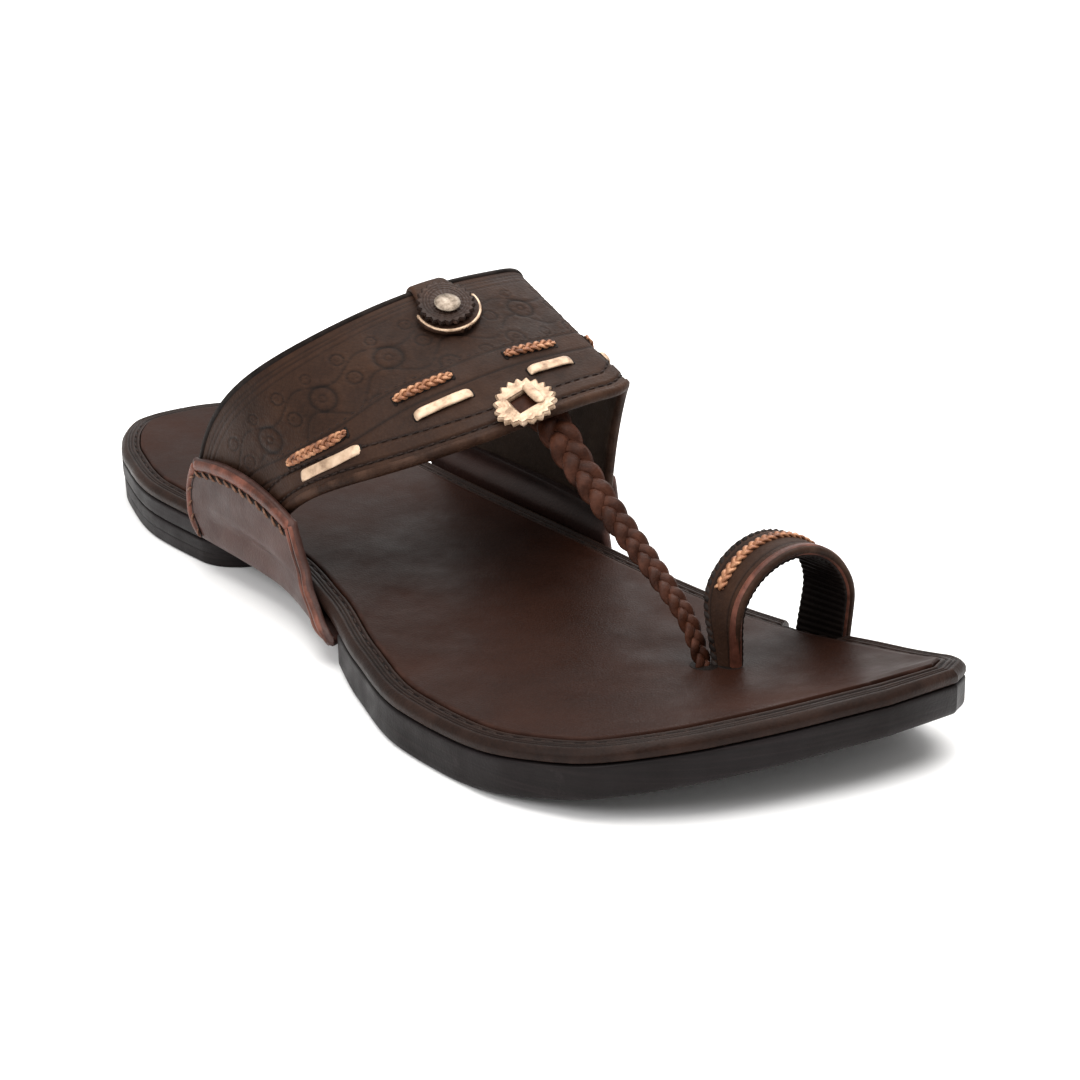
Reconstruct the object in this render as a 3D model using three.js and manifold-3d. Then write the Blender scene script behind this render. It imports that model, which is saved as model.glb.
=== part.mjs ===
// A kolhapuri sandal for the right foot: a low leather sole, side flaps, a wide instep band with a riveted
// tab and a pinked rosette, a braided strap and a toe ring.
// Millimetres. +Y runs to the toe, +X to the outer (lateral) side and +Z up. The origin is on the floor,
// under the heel.
import * as THREE from 'three';
import { mergeVertices } from 'three/addons/utils/BufferGeometryUtils.js';
import Module from 'manifold-3d';

// ---- driving dimensions -------------------------------------------------------------------------------
const LENGTH = 280; // every "along" value is counted from the heel's back edge
const ORIGIN = 42; // where along is the origin, under the heel's middle
const GAP = 0.3; // between pieces that touch

const HEEL = { front: 94, corner: 12 }; // the block's straight front and the radius of its front corners
const WAIST = { back: 83, lateralFront: 162.6, medialFront: 160, edge: 5, rebate: 13, rebateDepth: 2.7 };
const INSOLE = { thickness: 3, rim: 5, bevel: 1.3, bevelDrop: 1.3, recess: 1.5 };
const FOOTBED = { inset: 6, thickness: 1.5, bevel: 0.4 };

const BAND_WALL = 2.6;
const FLAP_WALL = 2.2;
const FLAP_SETTLES = 5; // over this height, from the insole up, a flap leans over to the band's wall
const BAND_ENDS = { height: 21.5, back: 88, lateralFront: 124, medialFront: 156 }; // inside the flaps

const RING = { thickness: 2.8, nearX: -13.6, farX: -46.4, top: 37.3, along: 234 };
const SLOT_FLOOR = 10.6; // height of the slots' floor, inside the insole
const SLOTS = {
  ring: { lateral: -12.5, medial: -18, back: 232.4, front: 240.8 },
  strap: { lateral: -8.2, medial: -14, back: 228.4, front: 236.4 },
};
const NOTCH = { depth: 4.2, back: 223.5, front: 239 };
const STRAP = { width: 9.6, thickness: 4.2 };

// The tab leaves the instep at "leaves", turns down round "turn" by "fold" radians and ends in its tail.
const TAB = {
  along: 137.8, x: -9.8, radius: 7.5, thickness: 1.5, leaves: 130.2, turn: 3.4, fold: 1.6, tail: 27,
  taper: 0.42,
};
const WASHER = { along: 137.8, x: -9.2, radius: 6.5, thickness: 1.2, teeth: 22, pink: 0.6 };
const RIVET = { along: 139, x: -8.8, radius: 3.1, height: 1.5 };
const ROSETTE = {
  along: 170.6, x: -9.2, radius: 6.8, thickness: 1.4, teeth: 20, pink: 0.7, window: 3, lift: 0.13,
};

// The sole's outline: how far it reaches to each side, at each distance from the heel's back edge.
const OUTLINE = [
  { along: 0, lateral: 5.5, medial: -10 },
  { along: 3, lateral: 11.8, medial: -16.5 },
  { along: 8, lateral: 16.8, medial: -21.5 },
  { along: 16, lateral: 22.0, medial: -26.5 },
  { along: 30, lateral: 27.8, medial: -31.5 },
  { along: 60, lateral: 33.4, medial: -35.2 },
  { along: 92, lateral: 31.2, medial: -35.6 },
  { along: 122, lateral: 29.5, medial: -37.0 },
  { along: 150, lateral: 34.0, medial: -38.8 },
  { along: 180, lateral: 42.8, medial: -39.4 },
  { along: 207, lateral: 48.2, medial: -40.8 },
  { along: 232, lateral: 46.2, medial: -45.4 },
  { along: 254, lateral: 37.2, medial: -48.8 },
  { along: 268, lateral: 20.8, medial: -48.2 },
  { along: 275, lateral: 3.0, medial: -45.6 },
  { along: 280, lateral: -20.5, medial: -38.5 },
];

// The sole from the side: the outsole's underside and its top.
const SIDE = [
  { along: 0, bottom: 6.7, top: 11.5 },
  { along: 60, bottom: 6.7, top: 11.4 },
  { along: 96, bottom: 6.4, top: 11.0 },
  { along: 120, bottom: 3.9, top: 10.2 },
  { along: 150, bottom: 1.3, top: 9.2 },
  { along: 184, bottom: 0.0, top: 8.8 },
  { along: 222, bottom: 0.0, top: 8.8 },
  { along: 250, bottom: 3.4, top: 11.2 },
  { along: 280, bottom: 11.2, top: 17.8 },
];

// One flap's section from its tuck under the insole, round the sole's edge, up to its seam on the band.
// "out" is from the sole's edge. Heights are over the outsole's top in the first table and over the floor
// in the second, each at the flap's back edge and at its front edge. "arch" is its rise between them.
const FLAP_LOW = [
  { out: -10.0, heightBack: -1.1, heightFront: -1.1, back: 90, lateralFront: 154, medialFront: 148 },
  { out: -4.6, heightBack: -1.2, heightFront: -1.2, back: 89, lateralFront: 156, medialFront: 152 },
  { out: -1.6, heightBack: -1.8, heightFront: -2.7, back: 88.5, lateralFront: 159, medialFront: 155 },
  { out: 0.7, heightBack: -1.8, heightFront: -3.0, back: 88, lateralFront: 160, medialFront: 157 },
  { out: 1.8, heightBack: -0.3, heightFront: -1.3, back: 86.5, lateralFront: 157.5, medialFront: 158 },
  { out: 1.9, heightBack: 2.0, heightFront: 1.5, back: 84.5, lateralFront: 151, medialFront: 157.5 },
  { out: 1.8, heightBack: 4.2, heightFront: 4.2, back: 83.5, lateralFront: 146, medialFront: 157 },
];
const FLAP_HIGH = [
  { heightBack: 19.5, heightFront: 17.5, arch: 0.6, back: 83.5, lateralFront: 141.8, medialFront: 156.5 },
  { heightBack: 23.0, heightFront: 20.5, arch: 1.5, back: 84.3, lateralFront: 139.6, medialFront: 156 },
  { heightBack: 26.0, heightFront: 23.5, arch: 2.4, back: 85.8, lateralFront: 137.8, medialFront: 155.5 },
  { heightBack: 29.0, heightFront: 26.3, arch: 3.4, back: 88, lateralFront: 136, medialFront: 155 },
];

// The toe ring's edges on its way from the slot between the toes to the notch in the medial edge.
// "share" is along the loop from its foot in the slot. It reaches "back" and "front" from RING.along, and
// "turn" is how far its front edge is turned to the medial side.
const RING_SHAPE = [
  { share: 0, back: -0.6, front: 4.6, turn: 2 },
  { share: 0.12, back: 2.0, front: 5.2, turn: 1 },
  { share: 0.27, back: 5.6, front: 5.6, turn: 0 },
  { share: 0.5, back: 6.2, front: 6.2, turn: 0 },
  { share: 0.75, back: 6.4, front: 6.0, turn: 1 },
  { share: 1, back: 8.0, front: 3.4, turn: 3.2 },
];

// ---- the last's own functions -------------------------------------------------------------------------
// A smooth column of a table that never overshoots its rows.
function column(rows, key, by = 'along') {
  const xs = rows.map((row) => row[by]);
  const ys = rows.map((row) => row[key]);
  const slopes = xs.slice(1).map((x, i) => (ys[i + 1] - ys[i]) / (x - xs[i]));
  const tangents = xs.map((_, i) => {
    if (i === 0) return slopes[0];
    if (i === xs.length - 1) return slopes[i - 1];
    const before = slopes[i - 1];
    const after = slopes[i];
    return before * after <= 0 ? 0 : (2 * before * after) / (before + after);
  });
  return (x) => {
    const clamped = Math.min(Math.max(x, xs[0]), xs[xs.length - 1]);
    const i = Math.min(Math.max(xs.findIndex((value) => value >= clamped) - 1, 0), xs.length - 2);
    const span = xs[i + 1] - xs[i];
    const t = (clamped - xs[i]) / span;
    const [t2, t3] = [t * t, t * t * t];
    return (2 * t3 - 3 * t2 + 1) * ys[i] + (t3 - 2 * t2 + t) * span * tangents[i]
      + (3 * t2 - 2 * t3) * ys[i + 1] + (t3 - t2) * span * tangents[i + 1];
  };
}

const lateral = column(OUTLINE, 'lateral');
const medial = column(OUTLINE, 'medial');
const outsoleBottom = column(SIDE, 'bottom');
const outsoleTop = column(SIDE, 'top');
const yOf = (along) => along - ORIGIN;
const mix = THREE.MathUtils.lerp;
const always = (value) => () => value;

// The instep of the last: a section across the foot at each distance along it.
const CREST_X = -29.5;
const WALL_BASE = 12;
const LATERAL_WALL = 32;
const crestHeight = (along) => 75.6 - 0.415 * (along - 128);
const medialWall = (along) => mix(-41.5, -43, (along - 90) / 80);
const lateralFullness = (along) => Math.max(1.8, 3.2 - 0.023 * (along - 109));
const MEDIAL_FULLNESS = 3.7;

// A point on the instep at angle t, from 0 at the lateral wall's foot to PI at the medial wall's.
function instepPoint(t, along) {
  const onLateral = t < Math.PI / 2;
  const fullness = onLateral ? lateralFullness(along) : MEDIAL_FULLNESS;
  const wall = onLateral ? LATERAL_WALL : medialWall(along);
  const across = Math.abs(Math.cos(t)) ** (2 / fullness);
  const rise = Math.sin(t) ** (2 / fullness);
  return new THREE.Vector3(
    mix(CREST_X, wall, across), yOf(along), mix(WALL_BASE, crestHeight(along), rise));
}

// The same point pushed out from the last by "offset", square to its surface.
function instep(t, along, offset = 0) {
  const dt = 0.01;
  const low = Math.max(t - dt, 0.002);
  const high = Math.min(t + dt, Math.PI - 0.002);
  const acrossStep = instepPoint(high, along).sub(instepPoint(low, along));
  const alongStep = instepPoint(t, along + 0.5).sub(instepPoint(t, along - 0.5));
  const normal = alongStep.cross(acrossStep).normalize();
  if (normal.z < 0 && Math.abs(t - Math.PI / 2) < 1) normal.negate();
  return instepPoint(t, along).addScaledVector(normal, offset);
}

// The band's two edges, further back low on the sides than over the crest.
const bandBack = (t) => 129.5 - 46 * (1 - Math.sin(t)) ** 1.42;
const bandFront = (t) => 175 - (t < Math.PI / 2
  ? 56 * (1 - Math.sin(t)) ** 1.3
  : 19 * (1 - Math.sin(t)) ** 0.62);

// The angle at which the instep reaches a given height.
function angleAtHeight(height, along, onLateral) {
  const fullness = onLateral ? lateralFullness(along) : MEDIAL_FULLNESS;
  const rise = (height - WALL_BASE) / (crestHeight(along) - WALL_BASE);
  const t = Math.asin(Math.min(rise ** (fullness / 2), 1));
  return onLateral ? t : Math.PI - t;
}

// The angle at which the instep is at a given x near the crest.
function angleAtX(x, along) {
  const onLateral = x > CREST_X;
  const fullness = onLateral ? lateralFullness(along) : MEDIAL_FULLNESS;
  const wall = onLateral ? LATERAL_WALL : medialWall(along);
  const across = Math.min((x - CREST_X) / (wall - CREST_X), 1);
  const t = Math.acos(across ** (fullness / 2));
  return onLateral ? t : Math.PI - t;
}

// ---- mesh builders ------------------------------------------------------------------------------------
function geometryOf(points, triangles) {
  const geometry = new THREE.BufferGeometry();
  const flat = new Float32Array(points.flatMap((p) => [p.x, p.y, p.z]));
  geometry.setAttribute('position', new THREE.BufferAttribute(flat, 3));
  geometry.setIndex(triangles.flat());
  return geometry;
}

const signedVolume = (points, triangles) => triangles.reduce((sum, [a, b, c]) => (
  sum + points[a].dot(points[b].clone().cross(points[c])) / 6), 0);

// A closed solid lofted through loops of equal length. Each loop lists an outer run and then an inner run
// back again, so the two end caps are strips between the runs.
function loft(loops) {
  const size = loops[0].length;
  const points = loops.flat();
  const triangles = [];
  const quad = (a, b, c, d) => triangles.push([a, b, c], [a, c, d]);
  for (let i = 0; i < loops.length - 1; i += 1) {
    for (let k = 0; k < size; k += 1) {
      const next = (k + 1) % size;
      quad(i * size + k, i * size + next, (i + 1) * size + next, (i + 1) * size + k);
    }
  }
  const last = (loops.length - 1) * size;
  for (let k = 0; k < size / 2 - 1; k += 1) {
    quad(k, size - 1 - k, size - 2 - k, k + 1);
    quad(last + k, last + k + 1, last + size - 2 - k, last + size - 1 - k);
  }
  if (signedVolume(points, triangles) < 0) triangles.forEach((corners) => corners.reverse());
  return geometryOf(points, triangles);
}

// A sheet of leather between an outer and an inner surface. Both are functions of a row and a column.
function sheet(rows, columns, outer, inner) {
  const loops = [];
  for (let i = 0; i <= rows; i += 1) {
    const loop = [];
    for (let k = 0; k <= columns; k += 1) loop.push(outer(i / rows, k / columns));
    for (let k = columns; k >= 0; k -= 1) loop.push(inner(i / rows, k / columns));
    loops.push(loop);
  }
  return loft(loops);
}

// A middle surface thickened by half a wall to each side, square to itself.
function thickened(rows, columns, middle, wall) {
  const step = 0.004;
  const inside = (value) => Math.min(Math.max(value, step), 1 - step);
  const side = (sign) => (u, v) => {
    const [cu, cv] = [inside(u), inside(v)];
    const alongU = middle(cu + step, cv).sub(middle(cu - step, cv));
    const alongV = middle(cu, cv + step).sub(middle(cu, cv - step));
    return middle(u, v).addScaledVector(alongU.cross(alongV).normalize(), (sign * wall) / 2);
  };
  return sheet(rows, columns, side(1), side(-1));
}

const wasm = await Module();
wasm.setup();

function toSolid(geometry) {
  const bare = geometry.clone();
  bare.deleteAttribute('normal');
  bare.deleteAttribute('uv');
  const merged = mergeVertices(bare, 1e-4);
  return new wasm.Manifold(new wasm.Mesh({
    numProp: 3,
    vertProperties: new Float32Array(merged.attributes.position.array),
    triVerts: new Uint32Array(merged.index.array),
  }));
}

function toGeometry(solid) {
  const mesh = solid.getMesh();
  const geometry = new THREE.BufferGeometry();
  geometry.setAttribute('position', new THREE.BufferAttribute(mesh.vertProperties, 3));
  geometry.setIndex(new THREE.BufferAttribute(mesh.triVerts, 1));
  return geometry;
}

const cut = (geometry, ...tools) => toGeometry(
  tools.reduce((solid, tool) => solid.subtract(toSolid(tool)), toSolid(geometry)));

function boxBetween([x0, y0, z0], [x1, y1, z1]) {
  return new THREE.BoxGeometry(x1 - x0, y1 - y0, z1 - z0)
    .translate((x0 + x1) / 2, (y0 + y1) / 2, (z0 + z1) / 2);
}

// ---- the sole -----------------------------------------------------------------------------------------
// Places along the sole where its outline is sampled, closer together round the heel and the toe.
function stations(from = 0, to = LENGTH, extra = []) {
  const list = [0, 1, 3, 6, 10, 16, 23, 31, 41, 52, 64, 75, 98, 111, 124, 137, 150, 162, 189, 202, 215, 227,
    238, 248, 257, 264, 270, 274, 277, 279, LENGTH, ...extra];
  return list.filter((along) => along >= from && along <= to).sort((a, b) => a - b);
}

// One closed ring round the sole, up the lateral side and back down the medial one, inset from the outline.
// "narrow" draws both sides in towards the middle.
function soleRing(places, inset, height, narrow = always(0)) {
  const edge = [
    ...places.map((along) => ({ along, x: lateral(along) - narrow(along), onLateral: true })),
    ...places.toReversed().map((along) => ({ along, x: medial(along) + narrow(along), onLateral: false })),
  ];
  return edge.map((point, i) => {
    const before = edge[(i + edge.length - 1) % edge.length];
    const after = edge[(i + 1) % edge.length];
    const tangent = new THREE.Vector2(after.x - before.x, after.along - before.along).normalize();
    const depth = inset(point.along, point.onLateral);
    const along = point.along + tangent.x * depth;
    const x = point.x - tangent.y * depth;
    return new THREE.Vector3(x, yOf(along), height(along, point));
  });
}

function heelGeometry() {
  const corner = [0, 0.35, 0.6, 0.8, 0.93, 1].map((share) => HEEL.front - HEEL.corner * (1 - share));
  const places = stations(0, HEEL.front, corner);
  const narrow = (along) => {
    const past = Math.max(along - HEEL.front + HEEL.corner, 0);
    return HEEL.corner - Math.sqrt(HEEL.corner ** 2 - Math.min(past, HEEL.corner) ** 2);
  };
  return loft([
    soleRing(places, always(0.9), always(0), narrow),
    soleRing(places, always(0.4), always(0.7), narrow),
    soleRing(places, always(0.3), (along) => outsoleBottom(along) - GAP, narrow),
  ]);
}

function outsoleGeometry() {
  const step = 0.6;
  const { back, lateralFront, medialFront } = WAIST;
  const places = stations(0, LENGTH, [back, back + step, lateralFront - step, lateralFront,
    medialFront - step, medialFront]);
  const inWaist = (along, onLateral) => along > back && along < (onLateral ? lateralFront : medialFront);
  const edge = (rest) => (along, onLateral) => (inWaist(along, onLateral) ? WAIST.edge : rest);
  const rebate = (extra, rest) => (along, onLateral) => (
    inWaist(along, onLateral) ? WAIST.rebate + extra : rest);
  const shelf = (rest) => (along, place) => (
    outsoleTop(along) - (inWaist(place.along, place.onLateral) ? WAIST.rebateDepth : rest));
  return loft([
    soleRing(places, edge(0.8), outsoleBottom),
    soleRing(places, edge(0), (along) => outsoleBottom(along) + 0.8),
    soleRing(places, edge(0), shelf(0.5)),
    soleRing(places, rebate(0, 0.3), shelf(0.2)),
    soleRing(places, rebate(0.2, 0.6), outsoleTop),
  ]);
}

const insoleBottom = (along) => outsoleTop(along) + GAP;
const insoleTop = (along) => insoleBottom(along) + INSOLE.thickness;

const slotCutters = (low) => Object.values(SLOTS).map((slot) => boxBetween(
  [slot.medial, yOf(slot.back), low], [slot.lateral, yOf(slot.front), 30]));

function insoleGeometry() {
  const places = stations();
  const board = loft([
    soleRing(places, always(0.5), insoleBottom),
    soleRing(places, always(0), (along) => insoleBottom(along) + 0.6),
    soleRing(places, always(0), (along) => insoleTop(along) - INSOLE.bevelDrop),
    soleRing(places, always(INSOLE.bevel), insoleTop),
    soleRing(places, always(INSOLE.rim), insoleTop),
    soleRing(places, always(INSOLE.rim + 0.2), (along) => insoleTop(along) - INSOLE.recess),
  ]);
  const notchX = medial((NOTCH.back + NOTCH.front) / 2) + NOTCH.depth;
  const notch = boxBetween([-80, yOf(NOTCH.back), 0], [notchX, yOf(NOTCH.front), 30]);
  return cut(board, ...slotCutters(SLOT_FLOOR), notch);
}

function footbedGeometry() {
  const { inset, thickness, bevel } = FOOTBED;
  const places = stations();
  const low = (along) => insoleTop(along) - INSOLE.recess + GAP;
  const layer = loft([
    soleRing(places, always(inset), low),
    soleRing(places, always(inset), (along) => low(along) + thickness - bevel),
    soleRing(places, always(inset + bevel), (along) => low(along) + thickness),
  ]);
  return cut(layer, ...slotCutters(0));
}

// ---- the upper ----------------------------------------------------------------------------------------
// A flap stands from its tuck between outsole and insole up to the seam where it holds the band.
function flapMiddle(onLateral) {
  const sign = onLateral ? 1 : -1;
  const edge = onLateral ? lateral : medial;
  const front = onLateral ? 'lateralFront' : 'medialFront';
  const standOff = 1.5 * GAP + FLAP_WALL / 2;
  const rows = [...FLAP_LOW, ...FLAP_HIGH];
  const pointAt = (row, v) => {
    const along = mix(row.back, row[front], v);
    const height = mix(row.heightBack, row.heightFront, v) + (row.arch ?? 0) * 4 * v * (1 - v);
    if (row.out !== undefined) {
      return new THREE.Vector3(edge(along) + sign * row.out, yOf(along), outsoleTop(along) + height);
    }
    const low = FLAP_LOW[FLAP_LOW.length - 1];
    const share = Math.min((height - insoleTop(along)) / FLAP_SETTLES, 1);
    const onWall = instep(angleAtHeight(height, along, onLateral), along, standOff).x;
    const fromEdge = edge(along) + sign * low.out;
    return new THREE.Vector3(mix(fromEdge, onWall, share), yOf(along), height);
  };
  return (u, v) => {
    const place = u * (rows.length - 1);
    const i = Math.min(Math.floor(place), rows.length - 2);
    return pointAt(rows[i], v).lerp(pointAt(rows[i + 1], v), place - i);
  };
}

function flapGeometry(onLateral) {
  const rows = FLAP_LOW.length + FLAP_HIGH.length - 1;
  return thickened(rows, 14, flapMiddle(onLateral), FLAP_WALL);
}

// The band lies over the instep. Its rows run from the lateral end over the crest to the medial end.
function bandGeometry() {
  const rows = 44;
  const columns = 9;
  const { height, back, lateralFront, medialFront } = BAND_ENDS;
  const angle = (u, v) => {
    const start = mix(angleAtHeight(height, back, true), angleAtHeight(height, lateralFront, true), v);
    const end = mix(angleAtHeight(height, back, false), angleAtHeight(height, medialFront, false), v);
    const half = Math.PI / 2;
    const spread = (share) => Math.abs(share) ** 1.7;
    return u < 0.5
      ? mix(half, start, 1 - spread(2 * u))
      : mix(half, end, 1 - spread(2 - 2 * u));
  };
  const surface = (offset) => (u, v) => {
    const t = angle(u, v);
    return instep(t, mix(bandBack(t), bandFront(t), v), offset);
  };
  return sheet(rows, columns, surface(0), surface(-BAND_WALL));
}

function pinkedRing(radius, teeth, pink) {
  return Array.from({ length: teeth * 2 }, (_, i) => {
    const angle = (Math.PI * i) / teeth;
    const reach = radius - (i % 2) * pink;
    return new THREE.Vector2(reach * Math.cos(angle), reach * Math.sin(angle));
  });
}

// A pinked leather disc bent to the instep, round a hole. "lift" raises it towards the toe, in mm a mm.
function pinkedDisc({ x, along, radius, thickness, teeth, pink, hole, offset, lift = 0 }) {
  const outer = pinkedRing(radius, teeth, pink);
  const middle = outer.map((p) => p.clone().setLength(mix(hole(p.angle()), radius - pink, 0.5)));
  const inner = outer.map((p) => p.clone().setLength(hole(p.angle())));
  const laid = (level) => (p) => instep(
    angleAtX(x + p.x, along + p.y), along + p.y, level + lift * (p.y + radius));
  const loops = outer.map((_, i) => [
    ...[outer[i], middle[i], inner[i]].map(laid(offset + thickness)),
    ...[inner[i], middle[i], outer[i]].map(laid(offset)),
  ]);
  return closedLoft(loops);
}

// A loft whose last loop joins its first again.
function closedLoft(loops) {
  const size = loops[0].length;
  const points = loops.flat();
  const triangles = [];
  for (let i = 0; i < loops.length; i += 1) {
    const next = ((i + 1) % loops.length) * size;
    for (let k = 0; k < size; k += 1) {
      const beside = (k + 1) % size;
      triangles.push([i * size + k, i * size + beside, next + beside]);
      triangles.push([i * size + k, next + beside, next + k]);
    }
  }
  if (signedVolume(points, triangles) < 0) triangles.forEach((corners) => corners.reverse());
  return geometryOf(points, triangles);
}

// Distance from the middle to a square window's edge, in a given direction.
const squareReach = (half) => (angle) => (
  half / Math.max(Math.abs(Math.cos(angle)), Math.abs(Math.sin(angle))));

function rosetteGeometry() {
  return pinkedDisc({ ...ROSETTE, hole: squareReach(ROSETTE.window), offset: 2 * GAP });
}

function washerGeometry() {
  return pinkedDisc({ ...WASHER, hole: always(RIVET.radius / 2), offset: TAB.thickness + 2.7 * GAP });
}

function rivetGeometry() {
  const { radius, height } = RIVET;
  const profile = [new THREE.Vector2(0, 0), new THREE.Vector2(radius * 0.96, 0)];
  for (let i = 0; i <= 6; i += 1) {
    const angle = (i / 6) * (Math.PI / 2);
    profile.push(new THREE.Vector2(radius * Math.cos(angle), 0.5 + (height - 0.5) * Math.sin(angle)));
  }
  profile[profile.length - 1].x = 0;
  return new THREE.LatheGeometry(profile, 24).rotateX(Math.PI / 2);
}

// The rivet's place: over the washer, square to the instep.
function rivetPlace() {
  const t = angleAtX(RIVET.x, RIVET.along);
  const low = instep(t, RIVET.along, 0);
  const up = instep(t, RIVET.along, 1).sub(low).normalize();
  const offset = TAB.thickness + WASHER.thickness + 4.5 * GAP;
  return { position: low.addScaledVector(up, offset), up };
}

// The tab follows the instep under the rivet. Past the band's back edge its tail narrows and turns down.
function tabGeometry() {
  const { along, x, radius, thickness, turn, fold } = TAB;
  const leaves = along - TAB.leaves; // how far behind the rivet the tail leaves the instep
  const front = -radius + 0.15;
  const back = leaves + TAB.tail;
  const offset = 1.5 * GAP + thickness / 2;
  const slope = Math.atan(crestHeight(0) - crestHeight(1));
  const halfWidth = (s) => (s < 0
    ? Math.sqrt(Math.max(radius ** 2 - s ** 2, 2.5))
    : mix(radius, 1.2, (s / back) ** TAB.taper));
  const level = instep(angleAtX(x, TAB.leaves), TAB.leaves, offset).z;
  const middle = (u, v) => {
    const s = mix(front, back, u);
    const a = mix(-1, 1, v) * halfWidth(s);
    if (s <= leaves) return instep(angleAtX(x + a, along - s), along - s, offset);
    const start = instep(angleAtX(x + a, TAB.leaves), TAB.leaves, offset);
    const past = s - leaves;
    const angle = Math.min(past / turn, fold);
    const straight = past - angle * turn;
    const heading = slope - angle;
    const retreat = turn * (Math.sin(slope) - Math.sin(heading)) + straight * Math.cos(heading);
    const rise = turn * (Math.cos(heading) - Math.cos(slope)) + straight * Math.sin(heading);
    return new THREE.Vector3(
      start.x, start.y - retreat, mix(start.z, level, Math.min(past / 14, 1)) + rise);
  };
  return thickened(26, 6, middle, thickness);
}

// The braided strap's plain form: an oval cord from under the band's front edge to the slot.
function strapGeometry() {
  const [startX, startAlong] = [-15.5, 166];
  const underBand = -BAND_WALL - STRAP.thickness / 2 - 3 * GAP;
  const edgeAt = (x) => instep(angleAtX(x, startAlong), startAlong, underBand);
  const path = new THREE.CatmullRomCurve3([
    edgeAt(startX),
    new THREE.Vector3(-15.2, yOf(174.5), 49.0),
    new THREE.Vector3(-14.2, yOf(182), 44.8),
    new THREE.Vector3(-13.3, yOf(199), 35.6),
    new THREE.Vector3(-12.5, yOf(216), 27.2),
    new THREE.Vector3(-11.8, yOf(226.5), 21.2),
    new THREE.Vector3(-11.2, yOf(233.2), SLOT_FLOOR + 3.2),
  ]);
  const [steps, sides, taper] = [18, 12, 0.47];
  const underRosette = edgeAt(startX + 3).sub(edgeAt(startX - 3)).normalize();
  const inSlot = new THREE.Vector3(1, 0.12, 0).normalize();
  const loops = [];
  for (let i = 0; i <= steps; i += 1) {
    const share = i / steps;
    const centre = path.getPointAt(share);
    const across = underRosette.clone().lerp(inSlot, Math.min(share * 1.5, 1)).normalize();
    const up = across.clone().cross(path.getTangentAt(share)).normalize();
    const width = STRAP.width * mix(1, taper, share) * 0.5;
    const thickness = STRAP.thickness * mix(1, 0.75, share) * 0.5;
    loops.push(Array.from({ length: sides }, (_, k) => {
      const angle = (2 * Math.PI * (k + 0.5)) / sides;
      return centre.clone()
        .addScaledVector(across, width * Math.cos(angle))
        .addScaledVector(up, thickness * Math.sin(angle));
    }));
  }
  return loft(loops);
}

// The toe ring: a loop from its slot up over the toe and down into the notch in the medial edge.
function ringGeometry() {
  const { thickness, nearX, farX, top } = RING;
  const reach = (nearX - farX - thickness) / 2;
  const centreX = (nearX + farX) / 2;
  const nearFoot = SLOT_FLOOR + 0.5;
  const farFoot = outsoleTop(NOTCH.front) + 2 * GAP;
  const spring = top - thickness / 2 - reach; // height where the legs turn into the arch
  const back = column(RING_SHAPE, 'back', 'share');
  const front = column(RING_SHAPE, 'front', 'share');
  const turn = column(RING_SHAPE, 'turn', 'share');
  const legs = { near: spring - nearFoot, far: spring - farFoot };
  const arch = Math.PI * reach;
  const whole = legs.near + arch + legs.far;
  const centreAt = (u) => {
    const s = u * whole;
    if (s < legs.near) return { x: centreX + reach, z: nearFoot + s };
    if (s > legs.near + arch) return { x: centreX - reach, z: spring - (s - legs.near - arch) };
    const angle = (s - legs.near) / reach;
    return { x: centreX + reach * Math.cos(angle), z: spring + reach * Math.sin(angle) };
  };
  return thickened(34, 5, (u, v) => {
    const { x, z } = centreAt(u);
    return new THREE.Vector3(
      x - (v - 0.5) * turn(u), yOf(RING.along) + mix(-back(u), front(u), v), z);
  }, thickness);
}

// ---- the sandal ---------------------------------------------------------------------------------------
const COLOURS = {
  sole: { color: 0x2a2524, roughness: 0.55 },
  rim: { color: 0x33211b, roughness: 0.5 },
  footbed: { color: 0x452a20, roughness: 0.5 },
  flap: { color: 0x4a3430, roughness: 0.5 },
  band: { color: 0x48342b, roughness: 0.6 },
  lace: { color: 0x4d2f24, roughness: 0.6 },
  gold: { color: 0xe0bd9c, roughness: 0.4 },
  metal: { color: 0x8a7d74, roughness: 0.35, metalness: 1 },
};

function piece(name, geometry, look) {
  const mesh = new THREE.Mesh(geometry, new THREE.MeshStandardMaterial({ metalness: 0, ...look }));
  mesh.name = name;
  return mesh;
}

const sandal = new THREE.Group();
const sole = new THREE.Group();
const upper = new THREE.Group();
sole.add(
  piece('heel', heelGeometry(), COLOURS.sole),
  piece('outsole', outsoleGeometry(), COLOURS.sole),
  piece('insole', insoleGeometry(), COLOURS.rim),
  piece('footbed', footbedGeometry(), COLOURS.footbed),
);
upper.add(
  piece('flap_lateral', flapGeometry(true), COLOURS.flap),
  piece('flap_medial', flapGeometry(false), COLOURS.flap),
  piece('band', bandGeometry(), COLOURS.band),
  piece('tab', tabGeometry(), COLOURS.band),
  piece('tab_washer', washerGeometry(), COLOURS.sole),
  piece('rosette', rosetteGeometry(), COLOURS.gold),
  piece('braid_strap', strapGeometry(), COLOURS.lace),
  piece('toe_ring', ringGeometry(), COLOURS.band),
);
const rivet = piece('rivet', rivetGeometry(), COLOURS.metal);
const seat = rivetPlace();
rivet.position.copy(seat.position);
rivet.quaternion.setFromUnitVectors(new THREE.Vector3(0, 0, 1), seat.up);
upper.add(rivet);
sandal.add(sole, upper);

export default sandal;
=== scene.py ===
"""A kolhapuri sandal for the right foot, dressed round the CAD frame.

Lengths are millimetres until a mesh is made. "along" is counted from the heel's back edge, x is to the
lateral side and z is up, as in the CAD. Angle t runs round the instep, from the lateral wall at 0 over the
crest at a quarter turn to the medial wall.
"""

import math
import random

import bpy
import numpy as np
from mathutils import Matrix


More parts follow.
